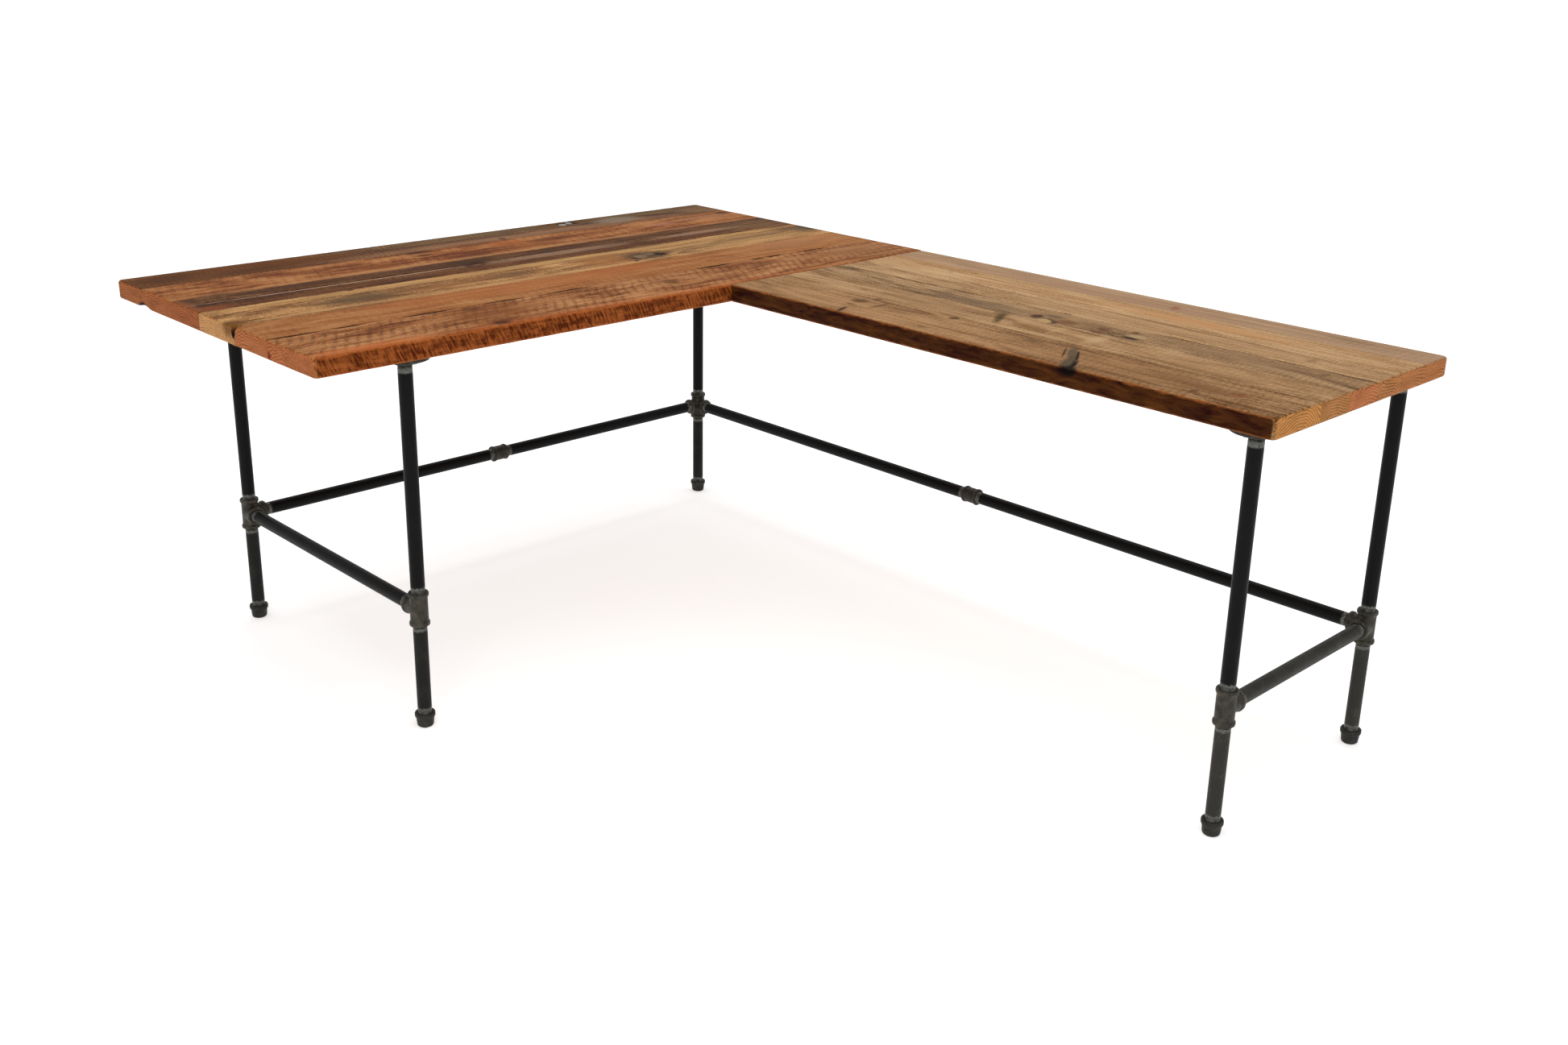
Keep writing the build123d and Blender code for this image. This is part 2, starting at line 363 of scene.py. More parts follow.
def smoothed(piece, degrees):
    """Shade a piece smooth, and leave its edges sharp past an angle."""
    only(piece)
    bpy.ops.object.shade_smooth_by_angle(angle=math.radians(degrees))


def cut_cells(piece, axis, cuts, wanted=None):
    """Subdivide the edges that run along one axis, or only those whose middle is wanted."""
    pick_none(piece, "EDGE")
    places = places_of(piece)
    ends = np.empty(len(piece.data.edges) * 2, dtype=np.int32)
    piece.data.edges.foreach_get("vertices", ends)
    first, second = places[ends[0::2]], places[ends[1::2]]
    run = np.abs(first - second)
    chosen = run[:, axis] > 0.99 * run.sum(axis=1)
    if wanted:
        chosen &= wanted((first + second) / 2)
    piece.data.edges.foreach_set("select", chosen)
    bpy.ops.object.mode_set(mode="EDIT")
    bpy.ops.mesh.subdivide(number_cuts=cuts)
    bpy.ops.object.mode_set(mode="OBJECT")


def fit_lines(values, low, high, lines):
    """Values on an even grid moved to the same-numbered lines."""
    number = np.rint((values - low) / (high - low) * (len(lines) - 1)).astype(int)
    return np.asarray(lines)[number]


def grid_lines(low, high, cells, ease_low, ease_high):
    """Cell lines from low to high, closer together in the easing at each end."""
    rows = np.array([0.0, 0.09, 0.35, 0.68, 1.0])
    start = low + rows * ease_low
    finish = high - rows[::-1] * ease_high
    middle = np.linspace(start[-1], finish[0], cells - 7)
    return np.concatenate([start[:-1], middle, finish[1:]])


def eased(places, low, high, ease_low, ease_high):
    """Places on a box moved so that its arrises are round, each side with its own radius."""
    core = np.clip(places, low + ease_low, high - ease_high)
    radius = np.where(places < core, ease_low, ease_high)
    reach = (places - core) / radius
    span = np.linalg.norm(reach, axis=1)
    most = np.abs(reach).max(axis=1)
    share = np.where(span > 0, most / np.maximum(span, 1e-9), 0.0)
    return core + reach * share[:, None] * radius


def round_corner(places, corner, inward, radius):
    """Places near one upright corner of a box moved onto a quarter circle in plan."""
    centre = np.array(corner) + np.array(inward) * radius
    reach = (places[:, :2] - centre) * -np.array(inward)
    near = (reach > 0).all(axis=1)
    flat = reach[near]
    share = flat.max(axis=1) / np.linalg.norm(flat, axis=1)
    places[near, :2] = centre - flat * share[:, None] * np.array(inward)


def board(node, top, seed, chatter, marks):
    """One board: a box of small cells, eased at its free arrises, with the saw's and time's relief.

    chatter is the depth of the saw strokes in millimetres, their slant to the grain in degrees,
    and their spacing in millimetres.
    """
    low, high = (np.array(corner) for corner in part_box(node))
    free_low = np.abs(low - top.low) < MM
    free_high = np.abs(high - top.high) < MM
    if not top.open_start:
        free_high[top.run] = False
    ease_low = np.where(free_low, ARRIS_R, TIGHT_JOINT)
    ease_high = np.where(free_high, ARRIS_R, TIGHT_JOINT)

    bpy.ops.object.select_all(action="DESELECT")
    bpy.ops.mesh.primitive_cube_add(size=1, location=(low + high) / 2, scale=high - low)
    bpy.ops.object.transform_apply()
    piece = bpy.context.object
    piece.name = node + "_board"
    run = top.run
    for axis, size in enumerate(high - low):
        if axis == run:
            coarse = round(size / CELL / STRIPS)
            cut_cells(piece, axis, STRIPS - 1)
            cut_cells(piece, axis, coarse - 1)
            cells = STRIPS * coarse
        else:
            cells = CELLS_DOWN if axis == 2 else round(size / CELL)
            cut_cells(piece, axis, cells - 1)
        places = places_of(piece)
        lines = grid_lines(low[axis], high[axis], cells, ease_low[axis], ease_high[axis])
        places[:, axis] = fit_lines(places[:, axis], low[axis], high[axis], lines)
        move_to(piece, places)

    places = eased(places_of(piece), low, high, ease_low, ease_high)
    for x, x_in, x_free in ((low[0], 1, free_low[0]), (high[0], -1, free_high[0])):
        for y, y_in, y_free in ((low[1], 1, free_low[1]), (high[1], -1, free_high[1])):
            if x_free and y_free:
                round_corner(places, (x, y), (x_in, y_in), PLAN_CORNER_R)

    depth, slant, spacing = chatter
    slant = math.radians(slant)
    s, t = top.along_across(places)
    stroke = (s * math.sin(slant) + t * math.cos(slant)) / (spacing * MM)
    reach = (s * math.cos(slant) - t * math.sin(slant)) / STROKE_REACH
    sunk = np.empty(len(places))
    raised = np.empty(len(places))
    worn = np.empty(len(places))
    for number, (a, b, c, d) in enumerate(zip(stroke, reach, s, t)):
        strokes = noise.noise(Vector((a, b, seed)))
        patch = 0.5 + noise.noise(Vector((c * 3.0, d * 11.0, seed + 5.0)))
        swell = 0.5 + 0.5 * noise.noise(Vector((c * 5.0, d * 16.0, seed + 9.0)))
        stroke_depth = max(0.0, strokes + 0.1) * max(0.15, patch) * depth * MM
        sunk[number] = swell * FACE_SWELL + stroke_depth
        under = 0.5 + 0.5 * noise.noise(Vector((a * 0.8, b, seed + 20.0)))
        raised[number] = under * BOTTOM_SWELL
        worn[number] = 0.5 + 0.5 * noise.noise(Vector((c * 22.0, d * 22.0, seed + 31.0)))
    for mark in marks:
        if mark.dent and mark.under:
            raised += mark.nearness(s, t) * mark.dent
        elif mark.dent:
            sunk += mark.nearness(s, t) * mark.dent

    inset_low = np.where(free_low[:2], places[:, :2] - low[:2], 1.0)
    inset_high = np.where(free_high[:2], high[:2] - places[:, :2], 1.0)
    inset = np.minimum(inset_low.min(axis=1), inset_high.min(axis=1))
    near_edge = np.clip(1 - inset / WEAR_WIDE, 0.0, 1.0) ** 2
    sunk += near_edge * worn ** 2 * EDGE_WEAR
    raised += near_edge * (1 - worn) ** 2 * EDGE_LIFT

    share = (places[:, 2] - low[2]) / (high[2] - low[2])
    bottom, upper = low[2] + raised, high[2] - sunk
    for axis in (0, 1):
        wave = (0.5 + 0.5 * np.sin(places[:, 1 - axis] * 410 + places[:, 2] * 190)) * worn
        bite = wave * EDGE_BITE
        for free, gap, way in ((free_low[axis], places[:, axis] - low[axis], 1),
                               (free_high[axis], high[axis] - places[:, axis], -1)):
            if free:
                places[:, axis] += way * bite * np.clip(1 - gap / BITE_WIDE, 0.0, 1.0)
    places[:, 2] = bottom + (upper - bottom) * share
    move_to(piece, places)
    smoothed(piece, 50)
    return piece


STROKE_STAIN = (0.44, 0.34, 0.26, 1.0)      # what a saw stroke lets through of the wood's colour
FASCIA_SAW_GAP = 3.7 * MM
FASCIA_SAW_SLANT = math.radians(24)
LAST_OF_FACE = (0.8 * MM, 2.6 * MM)         # where the face's colour gives way to the side's
RUB_AND_HIGHLIGHT_REACH = (1.0 * MM, 5.2 * MM)               # how far from its edge an arris is painted pale, as rubbed wear and a painted highlight
END_DARK, END_LIGHT = 0.72, 1.06            # the end grain's limits, as shares of its tone


def board_finish(name, top, seed, pith, rings, patch, stroke_share, chatter, tones, end_tone,
                 marks, rough=0.4):
    """Oiled old fir: growth rings, fibre, stains, saw strokes, marks, and the worn outer edges, whose
    arrises also carry a painted highlight.
    """
    finish = Finish(name, WOOD_LIGHT, WOOD_SHEEN)
    calc, cells, cloud = finish.calc, finish.cells, finish.cloud
    spread, blend = finish.spread, finish.blend
    corner = (*top.corner, top.high[2])
    point = cells(finish.place, (1, -1, -1), at=corner, turn=top.turn)
    drift = cloud(cells(point, (0.30, 0.06, 0.06), at=(seed, 0, 0)), result="Color")
    wandering = finish.shifted(point, drift, (0.0, 0.035, 0.03))
    heart = cells(wandering, (40.0, 1.0, 1.0), at=(0, pith * MM, 0.09))
    turns = calc("MULTIPLY", finish.length(heart), 2 * math.pi / RING_WIDTH)
    late = spread(calc("SINE", turns), -0.2, 1.0)
    fibre = cloud(cells(point, (0.09, 0.0022, 0.0022), at=(0, seed, 0)), 4, 0.6, 0.3)
    streak = cloud(cells(point, (0.35, 0.012, 0.02), at=(seed, 0, 0)), 3, 0.55, 0.4)
    stain = cloud(cells(point, (0.16, 0.045, 0.045), at=(0, 0, seed)), 4, 0.6, 0.8)
    grit = cloud(cells(point, (0.006, 0.0025, 0.0025), at=(seed, 0, 0)), 2, 0.7)

    tone = calc("MULTIPLY_ADD", late, rings * 0.6, 0.5 - rings * 0.2)
    for layer, share in ((fibre, 1.2), (streak, 1.2), (stain, patch * 3.3), (grit, 1.5)):
        centred = calc("SUBTRACT", layer, 0.5)
        tone = calc("MULTIPLY_ADD", centred, share, tone)
    dark, middle, light = tones
    colour = finish.ramp(tone, (0.16, dark), (0.86, light), (0.5, middle))

    # torn and open grain: short dark dashes along the fibre
    dashes = cloud(cells(point, (0.022, 0.0019, 0.0019), at=(seed, seed, 0)), 2, 0.6, 0.6)
    torn = calc("MULTIPLY", spread(dashes, 0.60, 0.74), spread(stain, 0.38, 0.62))
    colour = blend(calc("MULTIPLY", torn, rough), colour, finish.tint([c * 0.62 for c in dark]))

    # the saw's strokes, darker where the blade dug in
    slant, spacing = chatter[1:]
    slant = math.radians(-slant)
    beats = cells(point, (1.0, spacing * MM / (2 * math.pi), 1.0), turn=slant)
    unsteady = cloud(cells(point, (0.16, 0.06, 0.05), at=(seed, 0, 0)))
    beat = calc("MULTIPLY_ADD", unsteady, 6.0, finish.split(beats)[1])
    thin = cells(point, (0.03, spacing * 0.2 * MM, 0.03), at=(0, seed, 0), turn=slant)
    thin = cloud(thin, 2, 0.6, 0.4)
    strokes = calc("MULTIPLY_ADD", thin, 2.6, calc("SINE", beat))
    patches = cloud(cells(point, (0.14, 0.045, 0.05), at=(seed, seed, 0)))
    cut = calc("MULTIPLY", spread(strokes, 0.9, 2.5), spread(patches, 0.34, 0.56))
    stained = blend(1.0, colour, STROKE_STAIN, "MULTIPLY")
    colour = blend(calc("MULTIPLY", cut, stroke_share), colour, stained)

    ragged = cloud(cells(point, (0.016, 0.007, 0.02)), 3, 0.6, 0.4)
    ragged = calc("SUBTRACT", ragged, 0.5)
    colour = finish.marked(colour, point, ragged, [m for m in marks if not m.pocket])

    # how far in from the top's free outline, and from its upper or lower face
    s, t, down = finish.split(point)
    from_end = calc("SUBTRACT", top.length, s)
    if top.open_start:
        from_end = calc("MINIMUM", s, from_end)
    from_front = calc("SUBTRACT", top.width, t)
    if top.seam_start:
        beyond = calc("MAXIMUM", calc("SUBTRACT", s, top.seam_start), 0.0)
        from_front = calc("ADD", from_front, beyond)
    from_side = calc("MINIMUM", t, from_front)
    inset = calc("MINIMUM", from_end, from_side)
    from_face = calc("MINIMUM", down, calc("SUBTRACT", BOARD_THICK, down))
    squares = [calc("POWER", calc("MAXIMUM", gap, 0.0), 2.0) for gap in (inset, from_face)]
    arris = calc("SQRT", calc("ADD", *squares))
    arris = calc("MULTIPLY_ADD", ragged, 0.008, arris)

    slanted = cells(point, (FASCIA_SAW_GAP, 0.05, 0.03), at=(0, 0, seed), turn=FASCIA_SAW_SLANT,
                    axis=1)
    sawn = calc("SUBTRACT", cloud(slanted, 2, 0.6, 0.2), 0.5)
    mottle = cloud(cells(point, (0.06, 0.05, 0.014), at=(seed, 0, 0)), 4, 0.65, 0.6)
    sawn = calc("MULTIPLY_ADD", sawn, top.fascia_saw, mottle)
    side = finish.ramp(sawn, (0.34, top.fascia[0]), (0.68, top.fascia[1]))
    end_rings = calc("MULTIPLY_ADD", late, 0.22, calc("MULTIPLY", grit, 0.55))
    end_rings = calc("MULTIPLY_ADD", mottle, 0.45, end_rings)
    end_dark = [c * END_DARK for c in end_tone]
    end_light = [c * END_LIGHT for c in end_tone]
    end = finish.ramp(end_rings, (0.40, end_dark), (0.74, end_light))
    on_end = spread(calc("SUBTRACT", from_end, from_side), -0.0015, 0.0005, 1.0, 0.0)
    outer = blend(on_end, side, end)
    colour = blend(spread(inset, *LAST_OF_FACE, 1.0, 0.0), colour, outer)
    # the arrises painted paler: partly rubbed wear, partly a painted highlight along the eased edge
    rub_and_highlight = spread(arris, *RUB_AND_HIGHLIGHT_REACH, 0.75, 0.0)
    rub_and_highlight = calc("MULTIPLY", rub_and_highlight, calc("MULTIPLY_ADD", on_end, -0.8, 1.0))
    colour = blend(rub_and_highlight, colour, finish.tint(top.arris_rub_and_highlight_tone))
    colour = finish.marked(colour, point, ragged, [m for m in marks if m.pocket])

    finish.surface(Base_Color=colour, Roughness=calc("MULTIPLY_ADD", stain, 0.25, 0.46))
    height = calc("ADD", fibre, calc("MULTIPLY", grit, 0.6))
    finish.relief(calc("MULTIPLY_ADD", cut, -0.8, height), 0.5 * MM, 0.7)
    finish.surface(Specular_IOR_Level=0.04, IOR=1.4)
    return finish.material


# the main top: six boards, measured in millimetres from its left end and its back edge
MAIN_BOARDS = [f"main_plank_{number}" for number in range(1, 7)]
RETURN_BOARDS = [f"return_plank_{number}" for number in range(1, 7)]
main_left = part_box("main_plank_6")[0].x
seam_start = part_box("return_plank_1")[0].x - main_left
# its fascia's dark and light colours, how strongly their saw lines show, and its arrises' pale colour,
# part rubbed wear and part painted highlight
main_top = Top(MAIN_BOARDS, 0, True, seam_start, ((84, 47, 29), (152, 87, 51)), 1.15, (174, 97, 55))

SHADE = (52, 36, 26)        # the open dark of checks and knots
main_joint = [
    (s, 635, long, 6.5, (38, 26, 18), 0.95, 0.4, dent)
    for s, long, dent in ((51, 100, 1.2), (156, 60, 1.0), (321, 95, 1.2), (486, 80, 0.8),
                          (642, 112, 2.6), (1016, 100, 1.6), (1148, 36, 1.4), (1202, 52, 1.8),
                          (1314, 98, 2.6))
]
end_notch = [
    (0, 488, 90, 40, (98, 62, 36), 0.75, 0.5, 0.0, 0, 0.5, 0, 24),
    # the notch's deep part: sunk 18 mm and painted near black as the shade inside it
    (0, 507, 30, 16, (30, 22, 18), 1.0, 0.25, 18, 0, 0.2, 8, 15),
]
# Each board has a seed, how torn its grain is (rough), and how far across the top its pith lies.
# Then come how strongly its rings, patches and saw strokes show, and its chatter, as board() takes
# it. Its tones are dark, middle and light. Each row of its marks is what Mark() takes.
main_specs = (
    dict(
        seed=3.1, rough=0.5, pith=40, rings=0.12, patch=0.55, stroke_share=0.75, chatter=(0.45, 74, 12),
        tones=((64, 42, 27), (107, 75, 50), (146, 113, 82)), end_tone=(166, 102, 66),
        marks=[
            (206, 55, 620, 130, (100, 60, 35), 0.8, 0.4),
            (76, 60, 120, 60, (76, 50, 32), 0.6, 0.6),
            (256, 80, 170, 50, (80, 52, 33), 0.55, 0.7),
            (1086, 24, 1000, 58, (108, 88, 64), 0.6, 0.6),
            (906, 92, 860, 46, (146, 106, 80), 0.65, 0.6),
            (1206, 60, 120, 62, (138, 122, 104), 0.7, 0.5),
            (1081, 22, 190, 46, (96, 66, 40), 0.75, 0.5),
            (1065, 34, 34, 32, SHADE, 0.9, 0.25, 0.8, -60),
            (1063, 35, 22, 20, (168, 160, 146), 0.9, 0.3, 0.0, -60),
            (1090, 25, 42, 26, SHADE, 0.9, 0.25, 1.0, -70),
            (1088, 25, 30, 15, (150, 144, 132), 0.9, 0.3, 0.0, -70),
            (1102, 40, 14, 8, (40, 30, 24), 0.9, 0.45, 1.5),
            (846, 100, 16, 22, (74, 52, 38), 0.85, 0.45, 0.8),
            (559, 8, 12, 10, (52, 40, 30), 0.85, 0.45, 1.0),
            (1461, 70, 130, 60, (134, 104, 76), 0.5, 0.6),
        ],
    ),
    dict(
        seed=11.7, rough=0.45, pith=185, rings=0.2, patch=0.75, stroke_share=0.35, chatter=(0.5, 72, 24),
        tones=((100, 55, 28), (151, 94, 56), (174, 122, 80)), end_tone=(168, 102, 66),
        marks=[
            (606, 124, 50, 16, (66, 42, 28), 0.85, 0.5, 0.9),
            (606, 158, 44, 14, (66, 42, 28), 0.85, 0.5, 0.9),
            (596, 141, 60, 16, (128, 84, 56), 0.6),
            (471, 205, 90, 50, (112, 64, 38), 0.6, 0.6),
            (901, 190, 80, 70, (112, 66, 42), 0.6, 0.6),
            (826, 150, 110, 40, (156, 88, 50), 0.6, 0.6),
            (726, 150, 60, 34, (130, 76, 46), 0.5, 0.6),
            (241, 140, 40, 50, (126, 76, 44), 0.5, 0.6),
            (1481, 142, 34, 34, (70, 48, 34), 0.85, 0.5, 1.0),
            (1256, 176, 70, 34, (176, 118, 96), 0.55, 0.6),
            (1406, 165, 190, 60, (168, 118, 84), 0.5, 0.6),
            (706, 240, 1500, 16, (172, 128, 88), 0.55, 0.7),
        ],
    ),
    dict(
        seed=23.4, rough=0.55, pith=300, rings=0.15, patch=0.5, stroke_share=0.35, chatter=(0.3, 80, 22),
        tones=((56, 35, 22), (93, 61, 38), (130, 94, 68)), end_tone=(164, 98, 64),
        marks=[
            (606, 276, 1300, 44, (84, 58, 42), 0.55, 0.5),
            (706, 346, 1600, 26, (104, 64, 42), 0.5, 0.6),
            (646, 275, 110, 44, (66, 50, 40), 0.7, 0.5),
            (846, 318, 400, 30, (146, 116, 94), 0.65, 0.5),
            (1256, 314, 250, 24, (158, 124, 102), 0.7, 0.5),
            (306, 303, 620, 7, (42, 29, 22), 0.85, 0.5, 1.6, 0, 0.9),
            (326, 310.5, 590, 6, (184, 148, 124), 0.85, 0.6, 0.0, 0, 1.0),
            (846, 303, 330, 5, (160, 126, 104), 0.6, 0.6, 0.0, 0, 1.0),
            (634, 313, 60, 34, (58, 38, 28), 0.8, 0.4, 1.0, -20),
            (638, 313, 26, 14, (122, 88, 66), 0.7, 0.45, 0.0, -20),
            (1066, 335, 50, 60, (80, 56, 42), 0.6, 0.6),
            (841, 285, 36, 30, (72, 54, 42), 0.6),
            (36, 356, 70, 34, (152, 82, 48), 0.5, 0.7),
            (6, 300, 22, 120, (142, 88, 58), 0.6, 0.7),
            (1426, 310, 200, 110, (120, 92, 68), 0.45, 0.6),
            (1381, 352, 24, 14, (92, 58, 42), 0.7),
        ],
    ),
    dict(
        seed=31.9, pith=380, rings=0.2, patch=0.5, stroke_share=0.25, chatter=(0.25, 85, 18),
        tones=((82, 52, 32), (152, 108, 69), (200, 156, 104)), end_tone=(202, 150, 100),
        marks=[
            (706, 388, 1500, 30, (192, 150, 98), 0.6, 0.6),
            (706, 497, 1500, 20, (182, 138, 94), 0.6, 0.6),
            (284, 446, 170, 62, (92, 74, 54), 0.85, 0.6),
            (471, 452, 220, 38, (140, 96, 60), 0.65, 0.7),
            (638, 446, 90, 40, (112, 84, 60), 0.7, 0.7),
            (878, 446, 130, 88, (146, 96, 58), 0.75, 0.6),
            (1256, 440, 520, 90, (152, 120, 82), 0.45, 0.7),
            (986, 455, 116, 70, (76, 61, 48), 0.85, 0.4, 0.6),
            (964, 457, 30, 32, (132, 108, 84), 0.8, 0.4),
            (996, 446, 34, 22, (124, 104, 82), 0.6, 0.4),
            (1018, 460, 26, 30, (48, 40, 34), 0.9, 0.3, 1.6, -50),
            (944, 466, 12, 30, (56, 46, 38), 0.8, 0.3, 1.0),
            (928, 491, 12, 9, (44, 34, 28), 0.95, 0.3, 1.4),
            (1490, 430, 66, 72, (100, 82, 62), 0.8, 0.6),
            (1506, 425, 30, 60, (70, 58, 46), 0.7, 0.6),
            (306, 372, 16, 8, (84, 56, 38), 0.8, 0.45, 0.8),
        ] + end_notch,
    ),
    dict(
        seed=43.2, rough=0.4, pith=560, rings=0.16, patch=0.35, stroke_share=0.2, chatter=(0.2, 80, 20),
        tones=((130, 76, 42), (157, 103, 62), (174, 126, 84)), end_tone=(182, 113, 74),
        marks=[
            (606, 550, 620, 70, (164, 98, 58), 0.5, 0.7),
            (846, 535, 170, 44, (158, 92, 54), 0.6, 0.6),
            (1346, 550, 340, 80, (170, 124, 86), 0.45, 0.7),
            (936, 570, 14, 34, (134, 88, 58), 0.5, 0.6),
        ] + main_joint + end_notch,
    ),
    dict(
        seed=57.5, rough=0.3, pith=690, rings=0.16, patch=0.55, stroke_share=0.6, chatter=(0.75, 60, 19),
        tones=((106, 60, 32), (156, 103, 64), (180, 132, 91)), end_tone=(180, 110, 72),
        marks=[
            (411, 700, 170, 130, (124, 74, 44), 0.6, 0.7),
            (402, 655, 40, 34, (92, 58, 40), 0.7, 0.6, 0.6),
            (848, 700, 30, 40, (78, 50, 36), 0.85, 0.4, 1.2, 30),
            (832, 690, 60, 50, (132, 92, 62), 0.5, 0.6),
            (766, 644, 70, 14, (150, 112, 80), 0.5, 0.6),
            (626, 788, 1200, 18, (178, 98, 56), 0.4, 0.6),
            (106, 784, 220, 32, (184, 102, 56), 0.6, 0.6),
            (383, 780, 34, 24, (72, 44, 26), 0.85, 0.45, 1.2),
            (1186, 690, 560, 22, (128, 86, 58), 0.35, 0.7),
            (1406, 700, 220, 120, (154, 110, 76), 0.45, 0.7),
            # the seam with the return: a thin dark line of painted shade for the gap between the two tops
            (1223, 799, 592, 3.5, SHADE, 0.85, 0.5, 0.0, 0, 0.2),
            (2, 640, 14, 16, (104, 44, 26), 0.8, 0.5, 0.0, 0, 0.5, 27, 8),
        ] + main_joint,
    ),
)
# a chip out of the near end's bottom arris, pushed up 5.5 mm and painted near black as the shade inside
# it; boards 1 and 2 share it
chip_with_painted_shade = (0, 122, 34, 44, (26, 20, 16), 1.0, 0.25, 5.5, 0, 0.3, 37, 12, True)
main_specs[0]["marks"].append(chip_with_painted_shade)
main_specs[1]["marks"].append(chip_with_painted_shade)
for node, spec in zip(MAIN_BOARDS, main_specs):
    spec["marks"] = [Mark(*row) for row in spec["marks"]]
    piece = board(node, main_top, spec["seed"], spec["chatter"], spec["marks"])
    piece.data.materials.append(board_finish(node + "_wood", main_top, **spec))
    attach(piece, "root")
    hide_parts(node)
